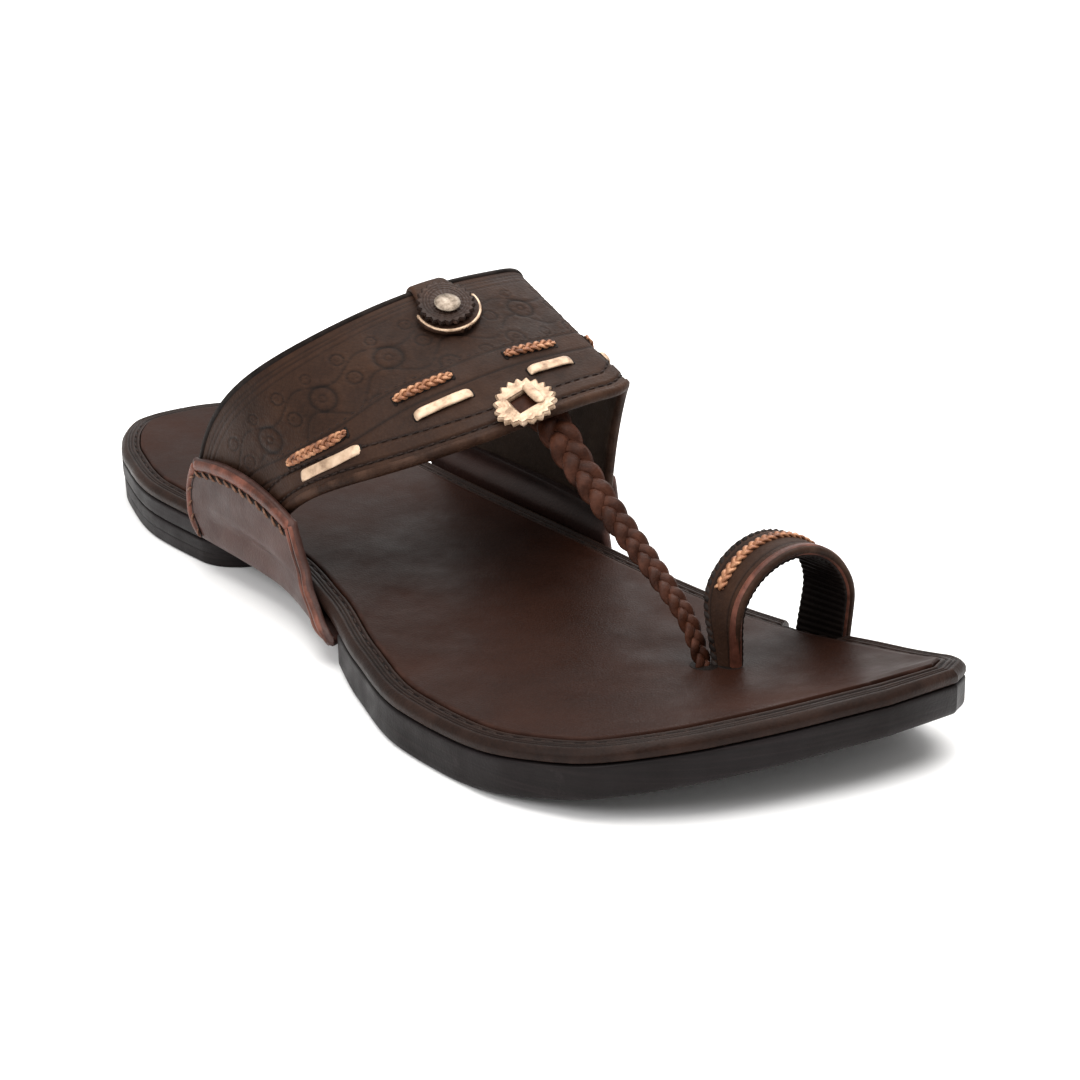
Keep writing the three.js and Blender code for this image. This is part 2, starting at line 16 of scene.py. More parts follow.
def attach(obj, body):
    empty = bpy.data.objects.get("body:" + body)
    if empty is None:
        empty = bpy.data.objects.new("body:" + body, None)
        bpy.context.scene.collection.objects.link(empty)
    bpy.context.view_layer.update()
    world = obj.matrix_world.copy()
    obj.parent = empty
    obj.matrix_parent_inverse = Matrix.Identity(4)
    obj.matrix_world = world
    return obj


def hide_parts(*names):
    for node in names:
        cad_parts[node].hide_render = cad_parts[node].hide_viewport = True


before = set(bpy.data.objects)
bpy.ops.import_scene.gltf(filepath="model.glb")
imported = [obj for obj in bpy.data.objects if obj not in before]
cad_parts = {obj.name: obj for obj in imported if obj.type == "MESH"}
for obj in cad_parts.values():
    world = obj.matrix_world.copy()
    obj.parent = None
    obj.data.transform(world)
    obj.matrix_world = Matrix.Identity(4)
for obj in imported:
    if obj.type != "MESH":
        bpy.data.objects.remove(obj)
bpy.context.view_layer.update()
random.seed(7)

MM = 0.001
ORIGIN = 42.0  # where along is the frame's origin
LENGTH = 280.0
GAP = 0.3
QUARTER = math.pi / 2


# ---- tables and curves ----
def table(names, rows):
    """Rows of numbers under named columns."""
    return dict(zip(names.split(), np.array(rows, float).T))


def rows_of(columns, names):
    """A table's rows again, each with the named columns only."""
    return zip(*(columns[name] for name in names.split()))


def monotone(xs, ys, x):
    """A smooth curve through (xs, ys) that never overshoots. ys may hold numbers or points."""
    xs = np.asarray(xs, float)
    ys = np.asarray(ys, float)
    flat = ys.reshape(len(xs), -1)
    steps = np.diff(xs)[:, None]
    slopes = np.diff(flat, axis=0) / steps
    before, after = slopes[:-1], slopes[1:]
    agree = before * after > 0
    inner = np.where(agree, 2 * before * after / np.where(agree, before + after, 1), 0)
    tangents = np.vstack([slopes[:1], inner, slopes[-1:]])
    x = np.clip(np.asarray(x, float), xs[0], xs[-1])
    at = x.ravel()
    i = np.clip(np.searchsorted(xs, at) - 1, 0, len(xs) - 2)
    span = steps[i]
    t = (at - xs[i])[:, None] / span
    value = ((2 * t**3 - 3 * t**2 + 1) * flat[i] + (t**3 - 2 * t**2 + t) * span * tangents[i]
             + (3 * t**2 - 2 * t**3) * flat[i + 1] + (t**3 - t**2) * span * tangents[i + 1])
    return value.reshape(x.shape + ys.shape[1:])


def curve(columns, name, by="along"):
    """One of a table's columns as a smooth function of another."""
    return lambda x: monotone(columns[by], columns[name], x)


def mix(a, b, share):
    return a + (b - a) * share


def smooth(x, low, high):
    """0 below low, 1 above high, and soft in between."""
    t = np.clip((x - low) / (high - low), 0, 1)
    return t * t * (3 - 2 * t)


def unit(v):
    return v / np.maximum(np.linalg.norm(v, axis=-1, keepdims=True), 1e-9)


def bell(x, wide):
    """1 at x = 0, falling softly to nothing about two widths away."""
    return np.exp(-(x / wide) ** 2)


def shares(rows, cols, low=0.0, high=1.0):
    """Grids of shares: down the rows from 0 to 1, and across the columns from low to high."""
    return np.meshgrid(np.linspace(0, 1, rows), np.linspace(low, high, cols), indexing="ij")


OUTLINE = table("along lateral medial", [
    (0, -1.6, -2.8),
    (0.25, 3.2, -7.4),
    (1, 6.8, -11.3),
    (3, 11.8, -16.5),
    (8, 16.8, -21.5),
    (16, 22.0, -26.5),
    (30, 27.8, -31.5),
    (60, 33.4, -35.2),
    (92, 31.2, -35.6),
    (122, 29.5, -37.0),
    (150, 34.0, -38.8),
    (180, 42.8, -39.4),
    (207, 48.2, -40.8),
    (232, 46.2, -45.4),
    (254, 37.2, -48.8),
    (268, 20.8, -48.2),
    (275, 3.0, -45.6),
    (280, -20.5, -38.5),
])
SIDE = table("along bottom top", [
    (0, 6.7, 11.5),
    (60, 6.7, 11.4),
    (96, 6.4, 11.0),
    (120, 3.9, 10.2),
    (150, 1.3, 9.2),
    (184, 0.0, 8.8),
    (222, 0.0, 8.8),
    (250, 3.4, 11.2),
    (280, 11.2, 17.8),
])
HEEL_FRONT = 94.0
HEEL_CORNER = 12.0
WAIST = {"back": 83.0, "lateral_front": 162.6, "medial_front": 160.0, "edge": 5.0, "rebate": 13.0,
         "drop": 2.7}
INSOLE_THICK = 3.0
RIM = 5.0
BEVEL = 1.3
NOTCH = {"depth": 4.2, "back": 223.5, "front": 239.0}
FOOTBED = {"inset": 5.6, "thick": 1.5, "low": -1.2}

lateral = curve(OUTLINE, "lateral")
medial = curve(OUTLINE, "medial")
outsole_bottom = curve(SIDE, "bottom")
outsole_top = curve(SIDE, "top")


def insole_bottom(along):
    return outsole_top(along) + GAP


def insole_top(along):
    return insole_bottom(along) + INSOLE_THICK


# ---- the instep of the last ----
CREST_X = -29.5
CREST_HEIGHT = 75.6  # at CREST_ALONG
CREST_ALONG = 128
CREST_SLOPE = 0.415
WALL_BASE = 12.0
LATERAL_WALL = 32.0
MEDIAL_FULLNESS = 3.7
BAND_WALL = 2.6


def crest_height(along):
    """The instep falls evenly to the toes."""
    return CREST_HEIGHT - CREST_SLOPE * (along - CREST_ALONG)


def instep_shape(along, on_lateral):
    """How full the section is and where its wall stands, on one side."""
    fullness = np.where(on_lateral, np.maximum(1.8, 3.2 - 0.023 * (along - 109)), MEDIAL_FULLNESS)
    wall = np.where(on_lateral, LATERAL_WALL, mix(-41.5, -43, (along - 90) / 80))
    return fullness, wall


def instep_point(t, along):
    """A point on the instep, whose section is half of an oval fuller than an ellipse."""
    t, along = np.broadcast_arrays(np.asarray(t, float), np.asarray(along, float))
    fullness, wall = instep_shape(along, t < QUARTER)
    across = np.abs(np.cos(t)) ** (2 / fullness)
    rise = np.sin(t) ** (2 / fullness)
    x = mix(CREST_X, wall, across)
    z = mix(WALL_BASE, crest_height(along), rise)
    return np.stack([x, along - ORIGIN, z], -1)


def instep(t, along, level=0.0):
    """A point on the instep, pushed out from it by level. Also gives the way out."""
    t, along = np.broadcast_arrays(np.asarray(t, float), np.asarray(along, float))
    low, high = np.maximum(t - 0.03, 0.002), np.minimum(t + 0.03, math.pi - 0.002)
    across_step = instep_point(high, along) - instep_point(low, along)
    along_step = instep_point(t, along + 0.5) - instep_point(t, along - 0.5)
    out = unit(np.cross(along_step, across_step))
    return instep_point(t, along) + out * np.asarray(level)[..., None], out


BACK_EDGE = {"crest": 129.5, "falls": 46, "power": 1.42}
FRONT_EDGE = {"crest": 175, "lateral_falls": 56, "lateral_power": 1.3, "medial_falls": 19,
              "medial_power": 0.62}


def band_back(t):
    """Where the band's back edge is along the foot, at angle t."""
    return BACK_EDGE["crest"] - BACK_EDGE["falls"] * (1 - np.sin(t)) ** BACK_EDGE["power"]


def band_front(t):
    """Where the band's front edge is along the foot, at angle t."""
    down = 1 - np.sin(t)
    return FRONT_EDGE["crest"] - np.where(
        t < QUARTER,
        FRONT_EDGE["lateral_falls"] * down ** FRONT_EDGE["lateral_power"],
        FRONT_EDGE["medial_falls"] * down ** FRONT_EDGE["medial_power"])


def angle_at_height(height, along, on_lateral):
    """The angle at which the instep is at a height, on one side."""
    fullness, _ = instep_shape(along, on_lateral)
    rise = (height - WALL_BASE) / (crest_height(along) - WALL_BASE)
    t = np.arcsin(np.minimum(np.maximum(rise, 0) ** (fullness / 2), 1))
    return np.where(on_lateral, t, math.pi - t)


def angle_at_x(x, along):
    """The angle at which the instep is over x."""
    on_lateral = x > CREST_X
    fullness, wall = instep_shape(along, on_lateral)
    across = np.clip((x - CREST_X) / (wall - CREST_X), 0, 1)
    t = np.arccos(across ** (fullness / 2))
    return np.where(on_lateral, t, math.pi - t)


def reaches(points):
    """Distance from the first of a row of points to each of them, along the row."""
    return np.concatenate([[0], np.cumsum(np.linalg.norm(np.diff(points, axis=0), axis=1))])


# Angles round one section of the instep and the distance round it to each, to spread rows evenly.
SPREAD_ALONG = 140.0
SPREAD_T = np.linspace(0.01, math.pi - 0.01, 1200)
SPREAD_S = reaches(instep_point(SPREAD_T, SPREAD_ALONG))


def round_of(t):
    """The distance round the instep to angle t."""
    return np.interp(t, SPREAD_T, SPREAD_S)


def angle_of(distance):
    """The angle at a distance round the instep."""
    return np.interp(distance, SPREAD_S, SPREAD_T)


# ---- shapes: (points, faces) ----
def grid_faces(rows, cols, wrap_rows=False, wrap_cols=False):
    """Four-sided faces between the points of a grid, which may close on itself either way."""
    r = np.arange(rows if wrap_rows else rows - 1)[:, None]
    c = np.arange(cols if wrap_cols else cols - 1)[None, :]
    r2, c2 = (r + 1) % rows, (c + 1) % cols
    quads = np.stack([r * cols + c, r * cols + c2, r2 * cols + c2, r2 * cols + c], -1)
    return quads.reshape(-1, 4).tolist()


def outward(points, faces):
    """The same shape with its faces turned outward, judged by the volume that they close in."""
    total = 0.0
    quads = np.array([f for f in faces if len(f) == 4])
    if len(quads):
        a, b, c, d = (points[quads[:, k]] for k in range(4))
        total += np.einsum("ij,ij->", a, np.cross(b, c)) + np.einsum("ij,ij->", a, np.cross(c, d))
    if total < 0:
        faces = [f[::-1] for f in faces]
    return points, faces


def joined(shapes):
    """Several shapes as one."""
    points, faces, start = [], [], 0
    for p, f in shapes:
        points.append(p)
        faces += [[i + start for i in face] for face in f]
        start += len(p)
    return np.concatenate(points), faces


def surface_normals(grid, wrap=False):
    """The way up from a grid of points, and its two own directions."""
    if wrap:
        padded = np.concatenate([grid[-1:], grid, grid[:1]])
        du = np.gradient(padded, axis=0)[1:-1]
    else:
        du = np.gradient(grid, axis=0)
    dv = np.gradient(grid, axis=1)
    return unit(np.cross(du, dv)), unit(du), unit(dv)


EDGE_STEPS = 4  # faces round a sheet's edge


def leather(grid, wall, relief=0.0, flip=False, wrap=False, bulge=1.0):
    """A sheet of leather round a middle surface, with rounded edges. relief raises its upper face."""
    rows, cols, _ = grid.shape
    up, du, dv = surface_normals(grid, wrap)
    if flip:
        up = -up
    half = wall / 2
    top = grid + up * np.broadcast_to(half + relief, (rows, cols))[..., None]
    bottom = grid - up * half
    index = np.arange(rows * cols).reshape(rows, cols)
    if wrap:
        borders = [(index[:, 0], -dv[:, 0], False), (index[:, -1], dv[:, -1], True)]
    else:
        ids = np.concatenate([index[0, :-1], index[:-1, -1], index[-1, :0:-1], index[:0:-1, 0]])
        out = np.zeros_like(grid)
        out[0] -= du[0]
        out[-1] += du[-1]
        out[:, 0] -= dv[:, 0]
        out[:, -1] += dv[:, -1]
        borders = [(ids, unit(out.reshape(-1, 3)[ids]), False)]
    points = [top.reshape(-1, 3), bottom.reshape(-1, 3)]
    faces = grid_faces(rows, cols, wrap_rows=wrap)
    faces += [[i + rows * cols for i in face[::-1]] for face in faces]
    start = 2 * rows * cols
    for ids, out, turned in borders:
        high, low = top.reshape(-1, 3)[ids], bottom.reshape(-1, 3)[ids]
        middle, reach = (high + low) / 2, (high - low) / 2
        rings = [ids]
        for k in range(1, EDGE_STEPS):
            angle = math.pi * k / EDGE_STEPS
            points.append(middle + reach * math.cos(angle) + out * half * bulge * math.sin(angle))
            rings.append(np.arange(len(ids)) + start)
            start += len(ids)
        rings.append(ids + rows * cols)
        for upper, lower in zip(rings, rings[1:]):
            strip = np.stack([upper, lower, np.roll(lower, -1), np.roll(upper, -1)], 1)
            faces += (strip[:, ::-1] if turned else strip).tolist()
    return outward(np.concatenate(points), faces)


LINE_STEP = 0.8


class Line:
    """A path with, at each point, the way along it, the way to its side and the way up."""

    def __init__(self, centre, up):
        self.centre = np.asarray(centre, float)
        tangent = unit(np.gradient(self.centre, axis=0))
        up = np.broadcast_to(np.asarray(up, float), self.centre.shape)
        self.side = unit(np.cross(tangent, up))
        self.up = unit(np.cross(self.side, tangent))
        self.reach = reaches(self.centre)
        self.length = self.reach[-1]

    def at(self, values, s):
        """One of the line's lists of vectors, read at distance s."""
        return np.stack([np.interp(s, self.reach, values[:, k]) for k in range(3)], -1)

    def place(self, s, across=0.0, rise=0.0):
        """Points at distance s, to the side by across and up by rise."""
        s = np.asarray(s, float)
        across, rise = np.broadcast_to(across, s.shape), np.broadcast_to(rise, s.shape)
        return (self.at(self.centre, s) + self.at(self.side, s) * across[..., None]
                + self.at(self.up, s) * rise[..., None])

    def shifted(self, across=0.0, rise=0.0):
        """A line beside this one, with its points spread evenly."""
        s = np.linspace(0, self.length, max(int(self.length / LINE_STEP), 4))
        return Line(self.place(s, across, rise), self.at(self.up, s))


def instep_line(t, along, level=0.0):
    """A line on the instep, or out from it by level."""
    return Line(*instep(t, along, level))


def tube(line, wide, high, step=0.6, sides=8, round_ends=True):
    """A cord of oval section along a line. Its ends close over about its own half width."""
    count = max(int(line.length / step), 4)
    s = np.linspace(0, line.length, count)
    if round_ends:
        near = np.minimum(s, line.length - s) / max(wide, high)
        scale = np.sqrt(np.clip(1 - (1 - np.minimum(near, 1)) ** 2, 0.003, 1))
    else:
        scale = np.ones(count)
    angle = 2 * math.pi * (np.arange(sides) + 0.5) / sides
    grid = line.place(
        np.repeat(s[:, None], sides, 1),
        (np.broadcast_to(wide, (count,)) * scale)[:, None] * np.cos(angle),
        (np.broadcast_to(high, (count,)) * scale)[:, None] * np.sin(angle))
    faces = grid_faces(count, sides, wrap_cols=True)
    faces += [list(range(sides))[::-1], [(count - 1) * sides + k for k in range(sides)]]
    return outward(grid.reshape(-1, 3), faces)


def plait(line, width, height, period, lift, wide, high, taper=None, step=0.5):
    """Three flat strands plaited along a line. width and height are how far each swings from the middle."""
    count = max(int(line.length / step), 12)
    s = np.linspace(0, line.length, count)
    scale = np.ones(count) if taper is None else taper(s / line.length)
    # A narrower braid is a tighter one, so its turns come closer together.
    turn = np.concatenate([[0], np.cumsum(np.diff(s) / (period * (scale[1:] + scale[:-1]) / 2))])
    shapes = []
    for k in range(3):
        phase = 2 * math.pi * (turn + k / 3)
        centre = line.place(s, width * scale * np.sin(phase), height * scale * np.sin(2 * phase) + lift)
        path = Line(centre, line.at(line.up, s))
        spread = np.linspace(0, 1, max(int(path.length / step), 4))
        scales = np.interp(spread, np.linspace(0, 1, count), scale)
        shapes.append(tube(path, wide * scales, high * scales, step=step, round_ends=False))
    return joined(shapes)


def stitches(line, pitch, size, thread, rise, slant=0.0):
    """A row of stitches, each a short thread that comes up out of the leather and goes down again."""
    shapes = []
    for k in range(max(int(line.length / pitch), 1)):
        middle = (k + 0.5) * pitch + random.uniform(-0.05, 0.05) * pitch
        lean = slant + random.uniform(-0.06, 0.06)
        reach = np.linspace(-0.5, 0.5, 7)
        bend = np.cos(math.pi * reach) ** 0.6
        s = np.clip(middle + reach * size * math.cos(lean), 0, line.length)
        centre = line.place(s, reach * size * math.sin(lean), bend * rise - 0.15)
        stitch = Line(centre, line.at(line.up, np.full(7, middle)))
        shapes.append(tube(stitch, thread, thread * 0.8, step=size / 7, sides=6))
    return joined(shapes)


def upper_shade(shape, relief, strength, most):
    """A shade for each point of a sheet, darker in the hollows of its upper face, whose points come first."""
    shade = np.zeros(len(shape[0]))
    shade[:relief.size] = np.clip(-relief.ravel() * strength, 0, most)
    return shade


# ---- adding pieces ----
def add(name, shape, material, replaces=(), shade=None):
    """A piece of the sandal. shade has a number for each point, and its material reads it."""
    points, faces = shape
    mesh = bpy.data.meshes.new(name)
    mesh.from_pydata((points * MM).tolist(), [], faces)
    mesh.update()
    mesh.shade_smooth()
    if shade is not None:
        values = mesh.attributes.new("shade", "FLOAT", "POINT")
        values.data.foreach_set("value", np.asarray(shade, np.float32))
    mesh.materials.append(material)
    piece = bpy.data.objects.new(name, mesh)
    bpy.context.collection.objects.link(piece)
    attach(piece, "root")
    if replaces:
        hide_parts(*replaces)


# ---- materials ----
class Nodes:
    """A material's node tree, with short ways to add nodes."""

    def __init__(self, name):
        self.material = bpy.data.materials.new(name)
        self.material.use_nodes = True
        self.tree = self.material.node_tree
        self.tree.nodes.clear()
        output = self.tree.nodes.new("ShaderNodeOutputMaterial")
        self.shader = self.tree.nodes.new("ShaderNodeBsdfPrincipled")
        self.tree.links.new(self.shader.outputs[0], output.inputs["Surface"])
        self.place = self.tree.nodes.new("ShaderNodeTexCoord").outputs["Object"]

    def feed(self, socket, value):
        """Links another node's output to a socket, or sets the socket to a number or a colour."""
        if isinstance(value, bpy.types.NodeSocket):
            self.tree.links.new(value, socket)
        elif socket.type == "RGBA":
            socket.default_value = rgba(value)
        else:
            socket.default_value = value

    def new(self, kind, **inputs):
        node = self.tree.nodes.new("ShaderNode" + kind)
        for name, value in inputs.items():
            self.feed(node.inputs[name], value)
        return node

    def noise(self, scale, detail=4.0, roughness=0.55, distortion=0.0, stretch=None):
        place = self.place
        if stretch is not None:
            place = self.new("Mapping", Vector=place, Scale=stretch).outputs["Vector"]
        return self.new("TexNoise", Vector=place, Scale=scale, Detail=detail, Roughness=roughness,
                        Distortion=distortion).outputs["Fac"]

    def cells(self, scale):
        return self.new("TexVoronoi", Vector=self.place, Scale=scale).outputs["Distance"]

    def ramp(self, source, *stops):
        """stops are (place, value) with a grey value or a colour."""
        node = self.new("ValToRGB", Fac=source)
        elements = node.color_ramp.elements
        while len(elements) < len(stops):
            elements.new(0.5)
        for element, (place, value) in zip(elements, stops):
            element.position = place
            element.color = rgba(value)
        return node.outputs["Color"]

    def blend(self, amount, a, b):
        node = self.tree.nodes.new("ShaderNodeMix")
        node.data_type = "RGBA"
        for k, value in ((0, amount), (6, a), (7, b)):  # the factor and the two colours
            self.feed(node.inputs[k], value)
        return node.outputs[2]

    def pointiness(self):
        return self.new("NewGeometry").outputs["Pointiness"]

    def attribute(self, name):
        node = self.new("Attribute")
        node.attribute_name = name
        return node.outputs["Fac"]

    def bump(self, height, distance, strength=1.0, under=None):
        node = self.new("Bump", Height=height, Distance=distance, Strength=strength)
        if under is not None:
            self.feed(node.inputs["Normal"], under)
        return node.outputs["Normal"]

    def finish(self, colour, roughness, normal=None, **constants):
        inputs = {"Base_Color": colour, "Roughness": roughness, **constants}
        if normal is not None:
            inputs["Normal"] = normal
        for name, value in inputs.items():
            self.feed(self.shader.inputs[name.replace("_", " ")], value)
        return self.material


def rgba(value):
    """An opaque colour from a grey value or a colour."""
    return ((value,) * 3 if np.isscalar(value) else tuple(value)) + (1,)


def srgb(*rgb):
    """Linear colour from 0-255 screen values."""
    return tuple((c / 255 / 12.92 if c / 255 <= 0.04045 else ((c / 255 + 0.055) / 1.055) ** 2.4) for c in rgb)


def leather_material(name, *dyes, gloss, grain, depth, mottle=55.0, shine=0.2, shade=False):
    """Dyed leather: mottled dye, pebbled grain, fine pores, painted shade in the hollows and edges rubbed
    lighter.
    """
    n = Nodes(name)
    dark, mid, light = (srgb(*dye) for dye in dyes)
    patches = n.noise(mottle, detail=6.0, roughness=0.62)
    colour = n.ramp(patches, (0.32, dark), (0.52, mid), (0.74, light))
    specks = n.noise(grain * 0.6, detail=3.0)
    colour = n.blend(n.ramp(specks, (0.35, 0.0), (0.75, 0.35)), colour, light)
    rubbed = tuple(min(1.0, c * 1.7 + 0.01) for c in light)
    edge = n.ramp(n.pointiness(), (0.51, 0.0), (0.60, 0.75))
    scuff = n.ramp(n.noise(180.0, detail=5.0), (0.45, 0.0), (0.65, 1.0))
    colour = n.blend(n.blend(scuff, 0.0, edge), colour, rubbed)
    # Painted shade: concave places are darkened, the more the more they curve in.
    hollows = n.ramp(n.pointiness(), (0.40, 0.85), (0.49, 0.0))
    colour = n.blend(hollows, colour, tuple(c * 0.3 for c in dark))
    if shade:
        colour = n.blend(n.attribute("shade"), colour, tuple(c * 0.28 for c in dark))
    pebbles = n.cells(grain)
    pores = n.noise(grain * 1.9, detail=2.0)
    normal = n.bump(pebbles, depth, 0.55)
    normal = n.bump(pores, depth * 0.5, 0.5, under=normal)
    creases = n.noise(120.0, detail=5.0, roughness=0.6, distortion=0.6)
    normal = n.bump(creases, 0.0006, 0.18, under=normal)
    roughness = n.ramp(n.noise(90.0, detail=5.0), (0.3, gloss - 0.09), (0.7, gloss + 0.12))
    return n.finish(colour, roughness, normal, Specular_IOR_Level=shine)


leather_band = leather_material("leather_band", (29, 16, 9), (41, 24, 15), (56, 36, 24),
    gloss=0.60, grain=1500.0, depth=0.00013, shine=0.12, shade=True)
leather_flap = leather_material("leather_flap", (40, 23, 19), (55, 34, 29), (72, 48, 42),
    gloss=0.46, grain=1700.0, depth=0.00007, mottle=40.0, shade=True)
leather_red = leather_material("leather_red", (46, 24, 17), (70, 38, 28), (100, 58, 45),
    gloss=0.44, grain=1800.0, depth=0.00007, mottle=90.0)
# Black leather for the piping and the ring's lining, and also the black pieces that are painted shade: the
# flap grooves, the trim's slits and braid beds, and the slot mouths.
leather_black_and_shade = leather_material("leather_black_and_shade", (12, 8, 7), (19, 14, 12), (30, 23, 20),
    gloss=0.55, grain=1600.0, depth=0.00008, shine=0.06)
leather_dark = leather_material("leather_dark", (30, 19, 14), (44, 29, 22), (62, 43, 34),
    gloss=0.50, grain=1600.0, depth=0.00008, shine=0.15)
leather_footbed = leather_material("leather_footbed", (26, 12, 7), (35, 17, 10), (46, 24, 15),
    gloss=0.50, grain=1900.0, depth=0.00005, mottle=22.0, shine=0.08)
leather_rim = leather_material("leather_rim", (20, 11, 8), (29, 17, 12), (43, 27, 20),
    gloss=0.46, grain=1700.0, depth=0.00006, shine=0.10, shade=True)
leather_lace = leather_material("leather_lace", (28, 12, 6), (42, 20, 11), (62, 32, 19),
    gloss=0.52, grain=1500.0, depth=0.00009, mottle=160.0, shine=0.08)
leather_lining = leather_material("leather_lining", (34, 25, 20), (46, 35, 28), (60, 48, 39),
    gloss=0.66, grain=2200.0, depth=0.00010, shine=0.1)


def gold_material(name, *dyes):
    """Foiled leather: a thin metallic film, rubbed through in places."""
    n = Nodes(name)
    dark, mid, light = (srgb(*dye) for dye in dyes)
    colour = n.ramp(n.noise(320.0, detail=5.0), (0.30, dark), (0.48, mid), (0.72, light))
    rubbed = n.ramp(n.noise(700.0, detail=6.0, roughness=0.7), (0.62, 0.0), (0.72, 0.6))
    colour = n.blend(rubbed, colour, dark)
    normal = n.bump(n.cells(1500.0), 0.00006, 0.6)
    roughness = n.ramp(n.noise(400.0), (0.3, 0.38), (0.7, 0.58))
    return n.finish(colour, roughness, normal, Metallic=0.35)


gold_pale = gold_material("gold_pale", (120, 94, 72), (184, 156, 130), (212, 186, 160))
gold_copper = gold_material("gold_copper", (58, 32, 20), (132, 84, 56), (190, 142, 106))


def thread_material(name, dark, light):
    """Waxed thread with a fine twist."""
    n = Nodes(name)
    colour = n.ramp(n.noise(1400.0, detail=4.0), (0.35, srgb(*dark)), (0.65, srgb(*light)))
    twist = n.noise(2600.0, detail=2.0, stretch=(1.0, 0.3, 0.3))
    return n.finish(colour, n.ramp(twist, (0.0, 0.55), (1.0, 0.8)), n.bump(twist, 0.00012, 0.7),
                    Specular_IOR_Level=0.1)


thread_dark = thread_material("thread_dark", (26, 19, 17), (48, 36, 31))
thread_tan = thread_material("thread_tan", (80, 55, 44), (122, 91, 74))


def sole_material():
    """Sole leather's cut edge: layered, blackened and burnished, with scuffs."""
    n = Nodes("leather_sole_edge")
    layers = n.noise(60.0, detail=5.0, roughness=0.6, stretch=(0.35, 0.35, 22.0))
    colour = n.ramp(layers, (0.30, srgb(16, 13, 13)), (0.55, srgb(23, 18, 18)), (0.75, srgb(33, 27, 27)))
    scuffs = n.ramp(n.noise(140.0, detail=7.0, roughness=0.7), (0.60, 0.0), (0.76, 0.5))
    colour = n.blend(scuffs, colour, srgb(50, 43, 44))
    dust = n.ramp(n.noise(35.0, detail=3.0), (0.45, 0.0), (0.8, 0.30))
    colour = n.blend(dust, colour, srgb(43, 37, 41))
    normal = n.bump(layers, 0.0002, 0.25)
    normal = n.bump(n.noise(1600.0, detail=3.0), 0.00012, 0.5, under=normal)
    roughness = n.ramp(n.noise(110.0, detail=4.0), (0.3, 0.42), (0.7, 0.62))
    return n.finish(colour, roughness, normal, Specular_IOR_Level=0.12)


def metal_material():
    """Dull, tarnished metal with fine scratches."""
    n = Nodes("rivet_metal_aged")
    tarnish = n.noise(500.0, detail=6.0, roughness=0.65)
    colour = n.ramp(tarnish, (0.35, srgb(92, 82, 72)), (0.5, srgb(128, 116, 104)), (0.7, srgb(158, 148, 136)))
    scratches = n.noise(900.0, detail=3.0, stretch=(1.0, 6.0, 1.0))
    return n.finish(colour, n.ramp(tarnish, (0.3, 0.58), (0.7, 0.42)), n.bump(scratches, 0.00004, 0.6),
                    Metallic=1.0)


sole_edge = sole_material()
rivet_metal = metal_material()


# ---- the sole ----
def crowded(start, end, count):
    """Places from start to end, closer together towards both."""
    even = np.linspace(0, 1, count)
    return mix(start, end, mix(even, (1 - np.cos(math.pi * even)) / 2, 0.85))


class SoleEdge:
    """The sole's outline as a closed ring, up the lateral side and back down the medial one."""

    SOFTEN = 3.0  # the way inward is averaged over about this much of the edge to each side

    def __init__(self, places, narrow=0.0):
        self.along = np.concatenate([places, places[::-1]])
        self.side = np.concatenate([np.ones(len(places)), -np.ones(len(places))])
        narrow = np.concatenate([narrow, narrow[::-1]]) if np.ndim(narrow) else narrow
        self.x = np.where(self.side > 0, lateral(self.along), medial(self.along)) - self.side * narrow
        edge = np.stack([self.x, self.along], 1)
        step = np.roll(edge, -1, 0) - edge
        length = np.linalg.norm(step, axis=1)
        normal = np.stack([-step[:, 1], step[:, 0]], 1) / np.maximum(length, 1e-6)[:, None]
        reach = np.cumsum(length)
        middle = reach - length / 2
        apart = np.abs((reach - length)[:, None] - middle[None, :])
        apart = np.minimum(apart, reach[-1] - apart)
        weight = bell(apart, self.SOFTEN) * length[None, :]
        self.inward = unit(weight @ normal)

    def in_waist(self):
        """1 where the flaps wrap the edge, 0 elsewhere."""
        front = np.where(self.side > 0, WAIST["lateral_front"], WAIST["medial_front"])
        return smooth(self.along, WAIST["back"], WAIST["back"] + 1) * smooth(front - self.along, 0, 1)

    def ring(self, inset, height):
        x = self.x + self.inward[:, 0] * inset
        along = self.along + self.inward[:, 1] * inset
        return np.stack([x, along - ORIGIN, height + 0 * x], 1)


def ring_solid(rings):
    """A solid through rings of equal length, closed by strips between the two sides."""
    size = len(rings[0])
    faces = grid_faces(len(rings), size, wrap_cols=True)
    last = (len(rings) - 1) * size
    for k in range(size // 2 - 1):
        faces.append([size - 1 - k, size - 2 - k, k + 1, k])
        faces.append([last + k, last + k + 1, last + size - 2 - k, last + size - 1 - k])
    return outward(np.concatenate(rings), faces)


sole_places = crowded(0, LENGTH, 300)
edge = SoleEdge(sole_places)


# Each row of these profiles is an inset from the outline and a height, counted from the foot or the top.
HEEL_PROFILE = ((1.6, 0.0), (0.9, 0.05), (0.5, 0.35), (0.35, 0.9), (0.32, 3.0), (0.30, 3.3), (0.42, 3.42),
                (0.30, 3.55), (0.28, 5.2))
HEEL_TOP = ((0.3, 0.5), (0.5, 0.12), (2.0, 0))
OUTSOLE_FOOT = ((3.0, 0), (1.3, 0.0), (0.6, 0.15), (0.2, 0.55), (0.02, 1.1), (0, 1.8))
OUTSOLE_WALL = (0.45, 0.65, 0.85)  # shares of its height
OUTSOLE_TOP = ((0.0, 0.5), (0.15, 0.2), (0.5, 0.05))


def heel_shape():
    """The heel block, D-shaped, with a groove between its two lifts."""
    places = crowded(0, HEEL_FRONT, 150)
    past = np.maximum(places - HEEL_FRONT + HEEL_CORNER, 0)
    block = SoleEdge(places, HEEL_CORNER - np.sqrt(np.maximum(HEEL_CORNER**2 - past**2, 0)))
    top = outsole_bottom(block.along) - 0.05
    rings = [block.ring(inset, height) for inset, height in HEEL_PROFILE]
    rings += [block.ring(inset, top - drop) for inset, drop in HEEL_TOP]
    return ring_solid(rings)


